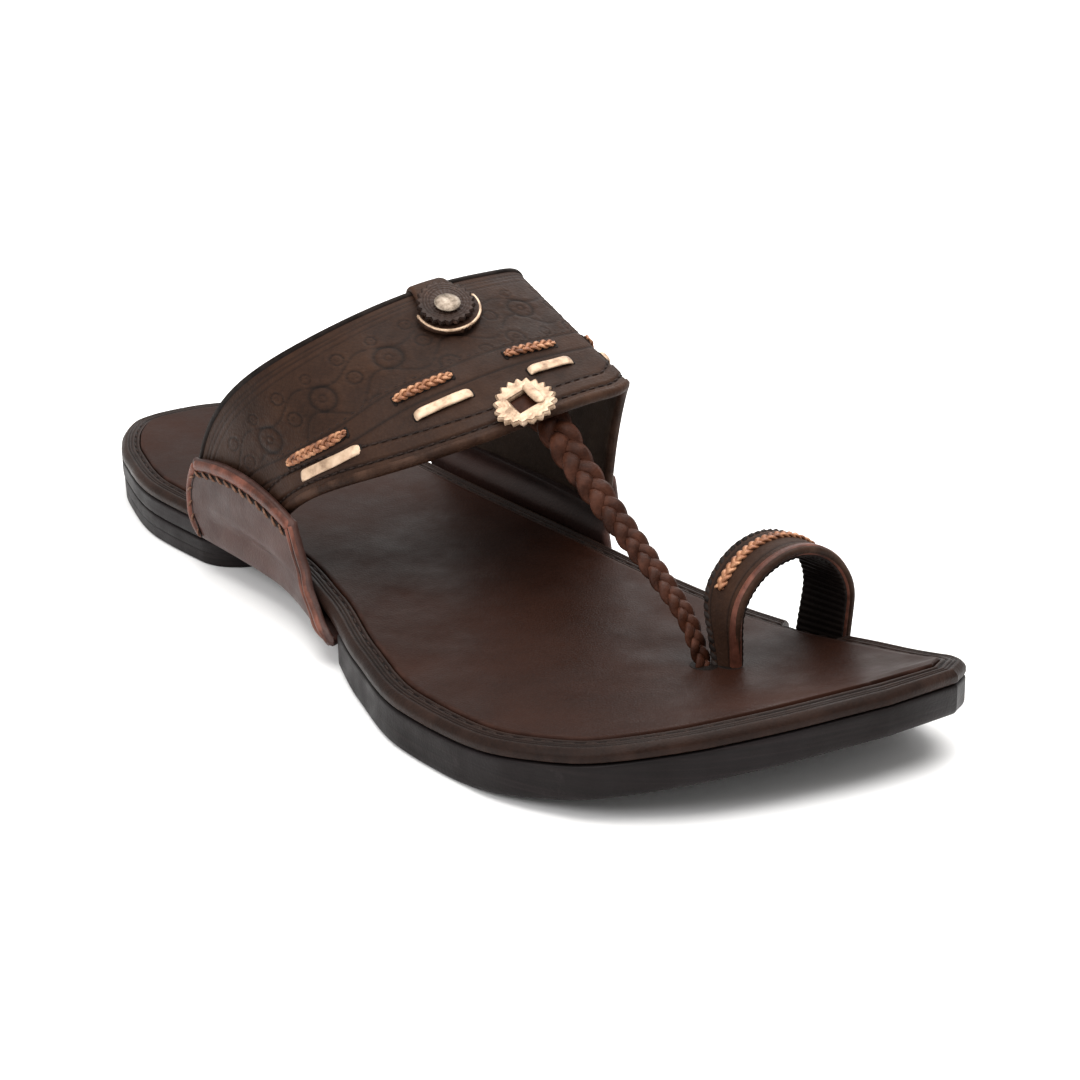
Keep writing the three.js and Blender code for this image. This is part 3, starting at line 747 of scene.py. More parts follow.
def outsole_shape():
    """The outsole, narrower at the waist and rebated on top there, where the flaps go in."""
    waist = edge.in_waist()
    low, high = outsole_bottom(edge.along), outsole_top(edge.along)
    inner = WAIST["edge"] * waist
    shelf = high - WAIST["drop"] * waist
    rebate = np.maximum(WAIST["rebate"] * waist, 1.2)
    rings = [edge.ring(inner + inset, low + rise) for inset, rise in OUTSOLE_FOOT]
    rings += [edge.ring(inner, mix(low, shelf, share)) for share in OUTSOLE_WALL]
    rings += [edge.ring(inner + inset, shelf - drop) for inset, drop in OUTSOLE_TOP]
    return ring_solid(rings + [edge.ring(rebate, shelf), edge.ring(rebate + 0.4, high)])


RIM_GROOVES = ((2.05, 0.28, 0.20), (2.75, 0.24, 0.20), (3.95, 0.42, 0.32))  # inset, depth, half width


def rim_drop(inset):
    return sum(depth * bell(inset - at, wide) for at, depth, wide in RIM_GROOVES)


def insole_shape():
    """The rim round the footbed, bevelled outside and grooved on top. Also gives its shade."""
    low, high = insole_bottom(edge.along), insole_top(edge.along)
    nick = smooth(edge.along, NOTCH["back"] - 0.5, NOTCH["back"])
    nick = nick * smooth(NOTCH["front"] + 0.5 - edge.along, 0, 0.5) * (edge.side < 0) * NOTCH["depth"]
    rings, shades = [], []

    def row(inset, height, shade=0.0):
        rings.append(edge.ring(np.maximum(inset, nick), height))
        shades.append(np.full(len(edge.along), shade))

    row(6.0, low)
    row(0.6, low)
    row(0.15, low + 0.2)
    row(0.0, low + 0.6)
    row(0.0, high - BEVEL - 0.25)
    row(0.06, high - BEVEL)
    row(0.35, high - BEVEL + 0.5)
    row(BEVEL - 0.25, high - 0.12)
    for inset in np.arange(BEVEL, RIM - 0.3, 0.13):
        row(inset, high - rim_drop(inset), min(rim_drop(inset) * 2.2, 0.8))
    row(RIM - 0.2, high - 0.02)
    row(RIM, high - 0.15)
    row(RIM + 0.1, high - 0.6, 0.9)
    row(RIM + 0.15, high - 1.4, 1.0)
    row(RIM + 2.0, high - 1.5, 1.0)
    return ring_solid(rings), np.concatenate(shades)


HOLLOWS = (  # x, along, half width, half length, depth
    (-1, 42, 17, 24, 0.55),
    (-12, 207, 26, 16, 0.40),
    (24, 196, 12, 18, 0.30),
    (-33, 250, 10, 12, 0.35),
    (-8, 118, 13, 30, -0.35),
)
CREASES = (  # from x, to x, along, lean, depth
    (-30, 38, 191, 0.10, 0.10),
    (-28, 40, 197, 0.16, 0.07),
)


def footbed_shape():
    """The footbed's sheet, with the soft hollows that a foot presses in and creases at its ball."""
    ring = edge.ring(FOOTBED["inset"], insole_top(edge.along) + FOOTBED["low"] + FOOTBED["thick"] / 2)
    half = len(sole_places)
    share = np.linspace(0, 1, 90)
    grid = mix(ring[:half, None], ring[:half - 1:-1, None], share[None, :, None])[2:-2]
    x, along = grid[..., 0], grid[..., 1] + ORIGIN
    relief = sum(-depth * bell(x - at_x, wide) * bell(along - at_along, long)
                 for at_x, at_along, wide, long, depth in HOLLOWS)
    for start, end, at, lean, depth in CREASES:
        crease = bell(along - at - (x + 10) * lean, 1.3)
        relief -= depth * crease * smooth(x, start, start + 16) * smooth(end - x, 0, 16)
    relief = relief * smooth(np.minimum(share, 1 - share), 0.0, 0.07)
    return leather(grid, FOOTBED["thick"], relief=relief, flip=True, bulge=0.5)


add("heel_block", heel_shape(), sole_edge, ["heel"])
add("outsole_body", outsole_shape(), sole_edge, ["outsole"])
insole, insole_shade = insole_shape()
add("insole_rim", insole, leather_rim, ["insole"], shade=insole_shade)
add("footbed_leather", footbed_shape(), leather_footbed, ["footbed"])


RIM_STITCH = {"pitch": 4.6, "size": 3.3, "thread": 0.26, "rise": 0.22}
RIM_SEAM = {"inset": RIM_GROOVES[-1][0], "level": -0.30, "back": 4, "front": 276}


def rim_seam(on_lateral):
    """The line of the rim's stitches on one side, in the innermost groove."""
    keep = (edge.side > 0) == on_lateral
    keep &= (edge.along >= RIM_SEAM["back"]) & (edge.along <= RIM_SEAM["front"])
    ring = edge.ring(RIM_SEAM["inset"], insole_top(edge.along) + RIM_SEAM["level"])[keep]
    return Line(ring if on_lateral else ring[::-1], (0, 0, 1)).shifted()


rim_stitches = [stitches(rim_seam(on_lateral), **RIM_STITCH) for on_lateral in (True, False)]
add("rim_stitching", joined(rim_stitches), thread_dark)


# ---- the flaps ----
FLAP_WALL = 2.2
FLAP_SETTLES = 5.0  # height over the insole at which a flap comes to lie on the band
FLAP_SHOWS = 0.30  # share of a flap's height where it comes out from under the insole
FLAP_TOP_STITCH = {"pitch": 3.9, "size": 3.4, "thread": 0.34, "rise": 0.4}
FLAP_BACK_STITCH = {"pitch": 3.9, "size": 2.6, "thread": 0.3, "rise": 0.35}
# Cords along a flap's edges: edge, across, rise, half width, half height. Across is counted on to the flap
# from its back and top edges, and off it from its front edge.
FLAP_ROLLS = (
    ("back", 0.6, 0.75, 1.25, 0.85),
    ("front", -0.3, 0.7, 0.85, 0.7),
    ("front", -1.9, 0.9, 0.7, 0.55),
    ("top", 0.9, 0.75, 1.5, 1.0),
)
# Black cords in the grooves along a flap's edges, with the same columns as the rolls: painted shade of the
# grooves.
FLAP_GROOVE_SHADES = (
    ("top", 3.0, 1.05, 0.65, 0.22),
    ("back", 2.3, 1.02, 0.3, 0.18),
    ("front", -1.1, 0.95, 0.3, 0.25),
)
# Rows of a flap's wall. The lower ones are placed out from the sole's outline and up from the outsole's top.
# The higher ones lie on the band, and their heights are from the floor.
FLAP_LOW = table("out height_back height_front back lateral_front medial_front", [
    (-10.0, -1.1, -1.1, 90, 154, 148),
    (-4.6, -1.2, -1.2, 89, 156, 152),
    (-1.6, -1.8, -2.7, 88.5, 159, 155),
    (0.7, -1.8, -3.0, 88, 160, 157),
    (1.8, -0.3, -1.3, 86.5, 157.5, 158),
    (1.9, 2.0, 1.5, 84.5, 151, 157.5),
    (1.8, 4.2, 4.2, 83.5, 146, 157),
])
FLAP_HIGH = table("height_back height_front arch back lateral_front medial_front", [
    (19.5, 17.5, 0.6, 83.5, 141.8, 156.5),
    (23.0, 20.5, 1.5, 84.3, 139.6, 156),
    (26.0, 23.5, 2.4, 85.8, 137.8, 155.5),
    (29.0, 26.3, 3.4, 88, 136, 155),
])


def flap_grid(on_lateral, rows, cols):
    """The middle of a flap's wall, from its tuck under the insole up to its seam on the band."""
    sign = 1 if on_lateral else -1
    reach = lateral if on_lateral else medial
    front_name = "lateral_front" if on_lateral else "medial_front"
    v = np.linspace(0, 1, cols)
    laid = []
    for out, height_back, height_front, back, front in rows_of(
            FLAP_LOW, "out height_back height_front back " + front_name):
        along = mix(back, front, v)
        height = outsole_top(along) + mix(height_back, height_front, v)
        laid.append(np.stack([reach(along) + sign * out, along - ORIGIN, height], 1))
    for height_back, height_front, arch, back, front in rows_of(
            FLAP_HIGH, "height_back height_front arch back " + front_name):
        along = mix(back, front, v)
        height = mix(height_back, height_front, v) + arch * 4 * v * (1 - v)
        share = np.minimum((height - insole_top(along)) / FLAP_SETTLES, 1)
        stand_off = 1.5 * GAP + FLAP_WALL / 2
        on_wall = instep(angle_at_height(height, along, on_lateral), along, stand_off)[0][:, 0]
        from_edge = reach(along) + sign * FLAP_LOW["out"][-1]
        laid.append(np.stack([mix(from_edge, on_wall, share), along - ORIGIN, height], 1))
    # The rows are then spread evenly up the wall.
    laid = np.array(laid)
    steps = np.linalg.norm(np.diff(laid, axis=0), axis=2).mean(axis=1)
    reach_up = np.concatenate([[0], np.cumsum(steps)])
    return monotone(reach_up, laid, np.linspace(0, reach_up[-1], rows))


def border(grid, up, index, start=0):
    """A line along one row or column of a grid, given as a slice."""
    return Line(grid[index][start:], up[index][start:]).shifted()


def build_flap(name, on_lateral):
    """A flap with the rolls, black cords of painted shade in its grooves, and whip stitches along its edges.
    """
    rows, cols = 70, 90
    grid = flap_grid(on_lateral, rows, cols)
    up, _, _ = surface_normals(grid)
    sign = 1 if on_lateral else -1
    if up[-1, cols // 2, 0] * sign < 0:
        up = -up
    # Soft slack folds where the leather turns up from the sole's edge.
    u, v = shares(rows, cols)
    slack = 0.28 * bell(u - 0.62, 0.10) * np.sin(v * 7.5 + 1.2 * on_lateral)
    slack += 0.18 * bell(u - 0.78 - 0.08 * v, 0.05) * np.sin(v * 11 + 2)
    slack = slack * smooth(v, 0, 0.15) * smooth(1 - v, 0, 0.15)
    grid = grid + up * slack[..., None]
    shape = leather(grid, FLAP_WALL, flip=on_lateral)
    # Painted shade: the flap's inner face is darkened through the shade attribute.
    inner_face_shade = np.zeros(len(shape[0]))
    inner_face_shade[rows * cols:2 * rows * cols] = 0.6
    add(f"{name}_leather", shape, leather_flap, [name], shade=inner_face_shade)

    turn = int(rows * FLAP_SHOWS)
    edges = {"back": border(grid, up, np.s_[:, 0], turn),
             "front": border(grid, up, np.s_[:, -1], turn),
             "top": border(grid, up, np.s_[-1, :])}

    def cords(rows):
        return joined([tube(edges[at].shifted(across * sign, rise), wide, high)
                       for at, across, rise, wide, high in rows])

    add(f"{name}_edge_rolls", cords(FLAP_ROLLS), leather_red)
    # Painted shade: black cords in the flap's grooves.
    add(f"{name}_seam_groove_shade", cords(FLAP_GROOVE_SHADES), leather_black_and_shade)
    threads = [stitches(edges["top"].shifted(2.9 * sign, 1.25), **FLAP_TOP_STITCH, slant=0.5 * sign),
               stitches(edges["back"].shifted(1.5 * sign, 1.3), **FLAP_BACK_STITCH, slant=0.7 * sign)]
    add(f"{name}_whip_stitches", joined(threads), thread_tan)


build_flap("flap_lateral", True)
build_flap("flap_medial", False)


# ---- the band ----
BAND_ENDS = {"height": 21.5, "back": 88, "lateral_front": 124, "medial_front": 156}
TRIM = table("t braid strip", [
    (0.10, 112.0, 118.0),
    (0.34, 131.0, 136.6),
    (0.63, 144.2, 149.9),
    (0.92, 150.2, 156.7),
    (1.13, 153.8, 160.3),
    (1.36, 155.8, 162.6),
    (1.57, 157.0, 163.4),
    (2.00, 154.5, 161.0),
    (2.60, 148.0, 154.5),
    (3.00, 143.0, 149.5),
])
braid_line = curve(TRIM, "braid", "t")
strip_line = curve(TRIM, "strip", "t")
STRIP_SPANS = ((0.32, 0.62), (0.875, 1.11), (1.34, 1.53), (1.95, 2.35))


def band_place(u, v):
    """The angle and the place along, for a share round the band and a share across it."""
    height, back = BAND_ENDS["height"], BAND_ENDS["back"]
    start, end = (round_of(mix(angle_at_height(height, back, on_lateral),
                               angle_at_height(height, BAND_ENDS[front], on_lateral), v))
                  for front, on_lateral in (("lateral_front", True), ("medial_front", False)))
    t = angle_of(mix(start, end, u))
    return t, mix(band_back(t), band_front(t), v)


def band_angles(v, count, margin=0.0):
    """Angles spread evenly round the band, at share v across it and margin away from its ends."""
    low, high = (round_of(band_place(u, v)[0]) for u in (0.0, 1.0))
    return angle_of(np.linspace(low + margin, high - margin, count))


def slant_of(edge_of, t):
    """Cosine of an edge's slant, which turns a gap along the foot into one square to the edge."""
    rise = (edge_of(t + 0.02) - edge_of(t - 0.02)) / (round_of(t + 0.02) - round_of(t - 0.02) + 1e-6)
    return 1 / np.sqrt(1 + rise**2)


def flower(s, q, radius):
    """Relief of one tooled flower round the origin."""
    r = np.hypot(s, q) / radius
    angle = np.arctan2(q, s)
    petals = bell(r - 0.52, 0.22) * (0.55 + 0.45 * np.cos(8 * angle))
    outer = 0.7 * bell(r - 1.45, 0.20) * (0.5 + 0.5 * np.cos(10 * angle + 0.4))
    heart = bell(r, 0.20) - 0.8 * bell(r - 0.28, 0.07)
    return 0.8 * petals - bell(r - 0.98, 0.11) + outer + heart


TOOL_PITCH = 18.0  # the pattern repeats round the band
FLOWERS = (  # from the back edge, round the band, radius
    (13.5, 0.0, 3.1),
    (13.5, 9.0, 1.7),
    (22.0, 9.0, 2.2),
    (7.6, 9.0, 1.5),
    (7.6, 0.0, 1.2),
    (22.5, 0.0, 1.4),
    (29.5, 0.0, 1.7),
)
VINES = ((17.8, 2.6), (10.2, 1.6))  # from the back edge, swing
EDGE_LINES = (1.9, 2.9, 4.3)  # from the back edge


def tooling(t, along):
    """The band's tooled relief, in mm over its plain face."""
    s = round_of(t)
    q = (along - band_back(t)) * slant_of(band_back, t)
    to_front = (band_front(t) - along) * slant_of(band_front, t)
    to_braid = (braid_line(t) - 2.9 - along) * slant_of(braid_line, t)
    pattern = 0
    for row_q, offset, radius in FLOWERS:
        nearest = (s - offset - 4.0 + TOOL_PITCH / 2) % TOOL_PITCH - TOOL_PITCH / 2
        pattern = pattern + flower(nearest, q - row_q, radius)
    vine = np.sin(2 * math.pi * (s - 4.0) / TOOL_PITCH)
    for middle, swing in VINES:
        pattern = pattern - 0.8 * bell(q - middle - swing * vine, 0.30)
    stipple = np.sin(s * 5.2 + np.sin(q * 2.1)) * np.sin(q * 5.0 + np.sin(s * 1.7))
    field = smooth(q, 4.4, 5.0) * smooth(to_braid, 0.2, 0.9)
    relief = field * (0.17 * pattern + 0.04 * stipple - 0.05)
    relief = relief - sum(0.16 * bell(q - at, 0.22) for at in EDGE_LINES)
    relief = relief - 0.20 * bell(to_braid + 0.4, 0.26)
    relief = relief - 0.22 * bell(along - (braid_line(t) + strip_line(t)) / 2, 0.30)
    relief = relief + 0.34 * smooth(to_front, 2.2, 2.7) * smooth(5.4 - to_front, 0, 0.5)
    return relief - 0.26 * bell(to_front - 2.0, 0.28) - 0.22 * bell(to_front - 5.9, 0.28)


BAND_FACE = 1.5  # the outer leather's thickness
BAND_LINING = 1.0
BAND_STITCH = {"pitch": 2.5, "size": 1.7, "thread": 0.24, "rise": 0.16}
BAND_SEAMS = (2.05, 5.9)  # from the front edge
BRAID_STITCH = {"pitch": 2.3, "size": 1.4, "thread": 0.2, "rise": 0.12}
STITCH_LEVEL = -0.05


def build_band():
    """The band's tooled face, its lining, the piping at its back and the binding at its front."""
    u, v = shares(350, 120)
    t, along = band_place(u, v)
    grid, _ = instep(t, along, -BAND_FACE / 2)
    rounding = np.minimum(np.minimum(v, 1 - v) * 45, 2.0)
    relief = tooling(t, along) - 0.12 * (1 - np.minimum(rounding / 1.2, 1)) ** 2
    face = leather(grid, BAND_FACE, relief=relief, flip=True)
    add("band_leather", face, leather_band, ["band"],
        shade=upper_shade(face, relief, 3.4, 0.85))

    t, along = band_place(*shares(130, 36, 0.012, 0.988))
    wrinkles = 0.05 * np.sin(along * 1.1 + t * 9) * np.sin(t * 23)
    grid, _ = instep(t, along, wrinkles - BAND_FACE - BAND_LINING / 2)
    add("band_lining", leather(grid, BAND_LINING, flip=True), leather_lining)

    t = band_angles(0.0, 260)
    back = instep_line(t, band_back(t) - 0.15, -0.55)
    add("band_back_piping", tube(back, 0.95, 1.0), leather_black_and_shade)
    t = band_angles(1.0, 260)
    front = instep_line(t, band_front(t) - 0.3, -1.0)
    add("band_front_binding", tube(front, 1.25, 1.4), leather_band)


def stitch_band():
    """Two rows of stitches along the band's front edge and one beside the braids."""
    t = band_angles(1.0, 300, margin=2)
    square = slant_of(band_front, t)
    seams = [instep_line(t, band_front(t) - gap / square, STITCH_LEVEL) for gap in BAND_SEAMS]
    rows = [stitches(seam, **BAND_STITCH) for seam in seams]
    t = band_angles(1.0, 300, margin=4)
    rows.append(stitches(instep_line(t, braid_line(t) - 3.3, STITCH_LEVEL), **BRAID_STITCH))
    add("band_stitching", joined(rows), thread_dark)


build_band()
stitch_band()


# ---- the band's gold trim ----
STRIP_HALF = 1.1
TRIM_BRAID = {"width": 0.92, "height": 0.38, "period": 5.6, "lift": 0.50, "wide": 0.52, "high": 0.34}
STRIP_SLIT = 1.5  # half its length
BRAID_SLIT = 1.7


def trim_line(line_of, start, end, extra=0.0):
    """A line round the band between two angles, longer by extra at each end."""
    t = angle_of(np.linspace(round_of(start) - extra, round_of(end) + extra, 60))
    return instep_line(t, line_of(t))


def gold_strip(line):
    """A flat strip that comes up through one slit and goes down through the next."""
    share, across = shares(60, 9, -1.0)
    s = line.length * share
    near = np.minimum(s, line.length - s)
    rise = -0.7 + 1.35 * np.sqrt(np.clip(1 - (1 - np.minimum(near / 1.9, 1)) ** 2, 0, 1))
    rise = rise + 0.16 * (1 - across**2) + 0.05 * np.sin(s * 0.9 + across)
    narrow = 0.72 + 0.28 * np.clip(near / 1.6, 0, 1) ** 0.5
    return leather(line.place(s, across * STRIP_HALF * narrow, rise), 0.55)


def slit(line, at, half_length):
    """A black cord across a line where a strip or a braid goes through its slit: painted shade in the slit's
    mouth.
    """
    places = np.full(9, at)
    centre = line.place(places, np.linspace(-half_length, half_length, 9), 0.02)
    return tube(Line(centre, line.at(line.up, places)), 0.55, 0.22, step=0.4)


def braid_taper(share):
    """A braid is narrower where it goes through its slits."""
    return 0.35 + 0.65 * np.clip(6 * np.minimum(share, 1 - share), 0, 1) ** 0.5


def build_trim():
    """The gold strips and the braids behind them, which go in and out of the band through slits."""
    strips, braids, braid_bed_shades, slits = [], [], [], []
    for span in STRIP_SPANS:
        strip = trim_line(strip_line, *span)
        braid = trim_line(braid_line, *span, extra=0.4)
        strips.append(gold_strip(strip))
        braids.append(plait(braid, **TRIM_BRAID, taper=braid_taper, step=0.3))
        # Painted shade: a flat black bed under each braid, showing dark between its strands.
        braid_bed_shades.append(tube(braid, 1.55, 0.22))
        # Painted shade: a black cord across each slit's mouth.
        for line, half in ((strip, STRIP_SLIT), (braid, BRAID_SLIT)):
            slits += [slit(line, 0.15, half), slit(line, line.length - 0.15, half)]
    add("gold_strips", joined(strips), gold_pale)
    add("gold_braids", joined(braids), gold_copper)
    add("trim_slit_and_bed_shades", joined(slits + braid_bed_shades), leather_black_and_shade)


build_trim()


# ---- rosette, washer, tab and rivet ----
ROSETTE = {"x": -9.2, "along": 170.6, "radius": 6.8, "thick": 1.3, "teeth": 20, "pink": 0.95, "window": 3.0,
           "lift": 0.13}
WASHER = {"x": -9.2, "along": 137.8, "radius": 6.5, "thick": 1.2, "teeth": 22, "pink": 0.75, "hole": 1.4}
TAB = {"x": -9.8, "along": 137.8, "radius": 7.5, "thick": 1.5, "leaves": 130.2, "turn": 3.4, "fold": 1.6,
       "tail": 27.0, "taper": 0.42}
RIVET = {"x": -8.8, "along": 139.0, "radius": 3.1, "height": 1.5}


def pinked_disc(disc, hole, level, relief, lift=0.0, radial=16):
    """A disc with a pinked edge, laid on the instep round a hole and tilted by lift."""
    teeth = disc["teeth"]
    angle = 2 * math.pi * np.arange(teeth * 12) / (teeth * 12)
    saw = np.abs(((angle * teeth / (2 * math.pi)) % 1) * 2 - 1)
    reach = disc["radius"] - disc["pink"] * (1 - saw)
    share = np.linspace(0, 1, radial)[None, :]
    r = mix(hole(angle)[:, None], reach[:, None], share)
    dx, dy = r * np.cos(angle)[:, None], r * np.sin(angle)[:, None]
    t = angle_at_x(disc["x"] + dx, disc["along"] + dy)
    middle = level + disc["thick"] / 2 + lift * (dy + disc["radius"])
    grid, _ = instep(t, disc["along"] + dy, middle)
    raised = relief(r, angle[:, None], share)
    return leather(grid, disc["thick"], relief=raised, flip=True, wrap=True, bulge=0.6)


def square_window(angle):
    return ROSETTE["window"] / np.maximum(np.abs(np.cos(angle)), np.abs(np.sin(angle)))


def rosette_relief(_, angle, share):
    """Rays, a raised lip round the window and one groove."""
    rays = 0.10 * np.cos(angle * ROSETTE["teeth"]) * smooth(share, 0.5, 0.9)
    return rays + 0.22 * bell(share - 0.08, 0.10) - 0.10 * bell(share - 0.55, 0.07)


def round_hole(angle):
    return np.full_like(angle, WASHER["hole"])


def washer_relief(r, angle, _):
    """Three grooves and rays."""
    return 0.05 * np.cos(angle * WASHER["teeth"]) - sum(0.16 * bell(r - at, 0.16) for at in (3.9, 4.6, 5.3))


def window_leather():
    """The dark leather that swells up in the rosette's window."""
    half = ROSETTE["window"] + 0.9
    u, v = shares(24, 24)
    x = ROSETTE["x"] + mix(-half, half, u)
    along = ROSETTE["along"] + mix(-half, half, v)
    swell = 0.35 * np.sin(math.pi * u) * np.sin(math.pi * v) + 0.5 * v
    grid, _ = instep(angle_at_x(x, along), along, 0.75 + swell)
    return leather(grid, 0.7)


def rosette_fold():
    """The folded edge of foil along the window's medial side."""
    along = ROSETTE["along"] + np.linspace(-3.9, 3.4, 30)
    x = np.full(30, ROSETTE["x"] - ROSETTE["window"] + 0.5)
    level = 2.3 + ROSETTE["lift"] * (along - ROSETTE["along"] + ROSETTE["radius"])
    return tube(instep_line(angle_at_x(x, along), along, level), 1.35, 0.42, step=0.3)


rosette = pinked_disc(ROSETTE, square_window, 2 * GAP, rosette_relief, lift=ROSETTE["lift"])
add("rosette_disc", rosette, gold_pale, ["rosette"])
add("rosette_window_leather", window_leather(), leather_lace)
add("rosette_fold", rosette_fold(), gold_pale)
washer = pinked_disc(WASHER, round_hole, TAB["thick"] + 2.7 * GAP, washer_relief, radial=40)
add("washer_disc", washer, leather_dark, ["tab_washer"])


def rivet_shape():
    """A domed cap with a rolled foot, seated square to the instep."""
    radius, height = RIVET["radius"], RIVET["height"]
    dome = [(radius * 0.93 * math.cos(a), 0.45 + (height - 0.95) * math.sin(a))
            for a in np.linspace(0.12, QUARTER - 0.02, 14)]
    profile = [(0.3, 0.0), (radius * 0.9, 0.0), (radius, 0.2), (radius, 0.4), (radius * 0.95, 0.52)] + dome
    t = angle_at_x(np.array(RIVET["x"]), np.array(RIVET["along"]))
    seat, up = instep(t, RIVET["along"], TAB["thick"] + WASHER["thick"] + 4.5 * GAP - 0.15)
    side = unit(np.cross((0.0, 1.0, 0.0), up))
    other = np.cross(up, side)
    angle = 2 * math.pi * np.arange(48) / 48
    points = [seat + r * (np.cos(angle)[:, None] * side + np.sin(angle)[:, None] * other) + z * up
              for r, z in profile]
    faces = grid_faces(len(profile), 48, wrap_cols=True)
    faces += [list(range(48)), [(len(profile) - 1) * 48 + k for k in range(48)]]
    return outward(np.concatenate(points), faces)


add("rivet_cap", rivet_shape(), rivet_metal, ["rivet"])


def tab_point(s, across):
    """The tab's middle, s behind its own centre. Past the band's edge its tail turns down."""
    level = 1.5 * GAP + TAB["thick"] / 2
    past = s - (TAB["along"] - TAB["leaves"])
    place = TAB["along"] - s if past <= 0 else TAB["leaves"]

    def on_band(x):
        return instep(angle_at_x(np.array(x), np.array(place)), place, level)[0]

    start = on_band(TAB["x"] + across)
    if past <= 0:
        return start
    slope = math.atan(CREST_SLOPE)
    angle = min(past / TAB["turn"], TAB["fold"])
    straight = past - angle * TAB["turn"]
    heading = slope - angle
    retreat = TAB["turn"] * (math.sin(slope) - math.sin(heading)) + straight * math.cos(heading)
    rise = TAB["turn"] * (math.cos(heading) - math.cos(slope)) + straight * math.sin(heading)
    # The tail is flat across, so its sides come level with its middle as it leaves the band.
    height = mix(start[2], on_band(TAB["x"])[2], min(past / 14, 1))
    return np.array([start[0], start[1] - retreat, height + rise])


def tab_shape():
    """The tab, round in front and narrowing to its tail's end."""
    radius = TAB["radius"]
    back = TAB["along"] - TAB["leaves"] + TAB["tail"]
    grid = []
    for s in np.concatenate([-radius * np.cos(np.linspace(0.12, QUARTER, 22)), np.linspace(0.5, back, 50)]):
        if s < 0:
            half = math.sqrt(max(radius**2 - s**2, 0.5))
        else:
            half = mix(radius, 1.0, (s / back) ** TAB["taper"])
        grid.append([tab_point(s, a * half) for a in np.linspace(-1, 1, 22)])
    grid = np.array(grid)
    return leather(grid, TAB["thick"], flip=surface_normals(grid)[0][5, 11, 2] < 0)


def tab_edging():
    """The gold crescent round the tab's front edge."""
    edging = [tab_point(-TAB["radius"] * math.cos(a), TAB["radius"] * math.sin(a))
              for a in np.linspace(-1.75, 1.75, 60)]
    return tube(Line(edging, (0.25, 0.35, 0.9)).shifted(rise=0.45), 0.42, 0.36)


add("tab_leather", tab_shape(), leather_band, ["tab"])
add("tab_edging", tab_edging(), gold_pale)


# ---- the braided strap ----
SLOT_FLOOR = 10.6
STRAP_PATH = table("x along z", [
    (-15.2, 174.5, 49.0),
    (-14.2, 182.0, 44.8),
    (-13.3, 199.0, 35.6),
    (-12.5, 216.0, 27.2),
    (-11.8, 226.5, 21.2),
    (-11.2, 233.2, SLOT_FLOOR + 2.0),
])


STRAP_PLAIT = {"width": 2.45, "height": 0.95, "period": 19.0, "lift": 0.0, "wide": 2.15, "high": 1.05}


def strap_line():
    """The strap's middle, from under the band's front edge down to its slot between the toes."""
    start_x, start_along = -15.5, 166.0
    under = -BAND_WALL - 2.1 - 3 * GAP
    t = angle_at_x(np.array([start_x + 3, start_x, start_x - 3]), np.full(3, start_along))
    ends, _ = instep(t, start_along, under)
    shown = np.stack([STRAP_PATH["x"], STRAP_PATH["along"] - ORIGIN, STRAP_PATH["z"]], 1)
    path = np.vstack([ends[1], shown])
    steps = reaches(path)
    fine = np.linspace(0, steps[-1], 160)
    centre = monotone(steps, path, fine)
    for _ in range(6):  # rounds of smoothing
        centre[1:-1] = (centre[:-2] + 2 * centre[1:-1] + centre[2:]) / 4
    share = np.clip(fine / steps[-1] * 1.5, 0, 1)[:, None]
    across = unit(mix(unit(ends[0] - ends[2])[None], unit(np.array([1, 0.12, 0]))[None], share))
    tangent = unit(np.gradient(centre, axis=0))
    return Line(centre, unit(np.cross(across, tangent)))


def strap_taper(share):
    """The plait is wide under the band and narrow between the toes."""
    return 1.12 - 0.62 * share


strap = strap_line()
add("braid_strap_plait", plait(strap, **STRAP_PLAIT, taper=strap_taper), leather_lace,
    ["braid_strap"])


def slot_shade_sheet(name, x0, x1, along0, along1):
    """A thin black sheet on the footbed round the foot of a strap: painted shade, standing for the slot's
    dark mouth.
    """
    u, v = (2 * share - 1 for share in shares(14, 14))
    # A square grid drawn in to an oval.
    x = mix(x0, x1, (u * np.sqrt(1 - 0.5 * v**2) + 1) / 2)
    along = mix(along0, along1, (v * np.sqrt(1 - 0.5 * u**2) + 1) / 2)
    height = insole_top(along) + FOOTBED["low"] + FOOTBED["thick"] - 0.04
    grid = np.stack([x, along - ORIGIN, height], -1)
    add(name, leather(grid, 0.2), leather_black_and_shade)


slot_shade_sheet("strap_slot_shade", -13.9, -8.5, 229.6, 236.4)
slot_shade_sheet("ring_slot_shade", -17.4, -12.8, 233.0, 240.0)


# ---- the toe ring ----
RING = {"near": -13.6, "far": -46.4, "top": 37.3, "along": 234.0, "wall": 2.8}
RING_SHAPE = table("share back front turn", [
    (0, -0.6, 4.6, 2),
    (0.12, 2.0, 5.2, 1),
    (0.27, 5.6, 5.6, 0),
    (0.5, 6.2, 6.2, 0),
    (0.75, 6.4, 6.0, 1),
    (1, 8.0, 3.4, 3.2),
])


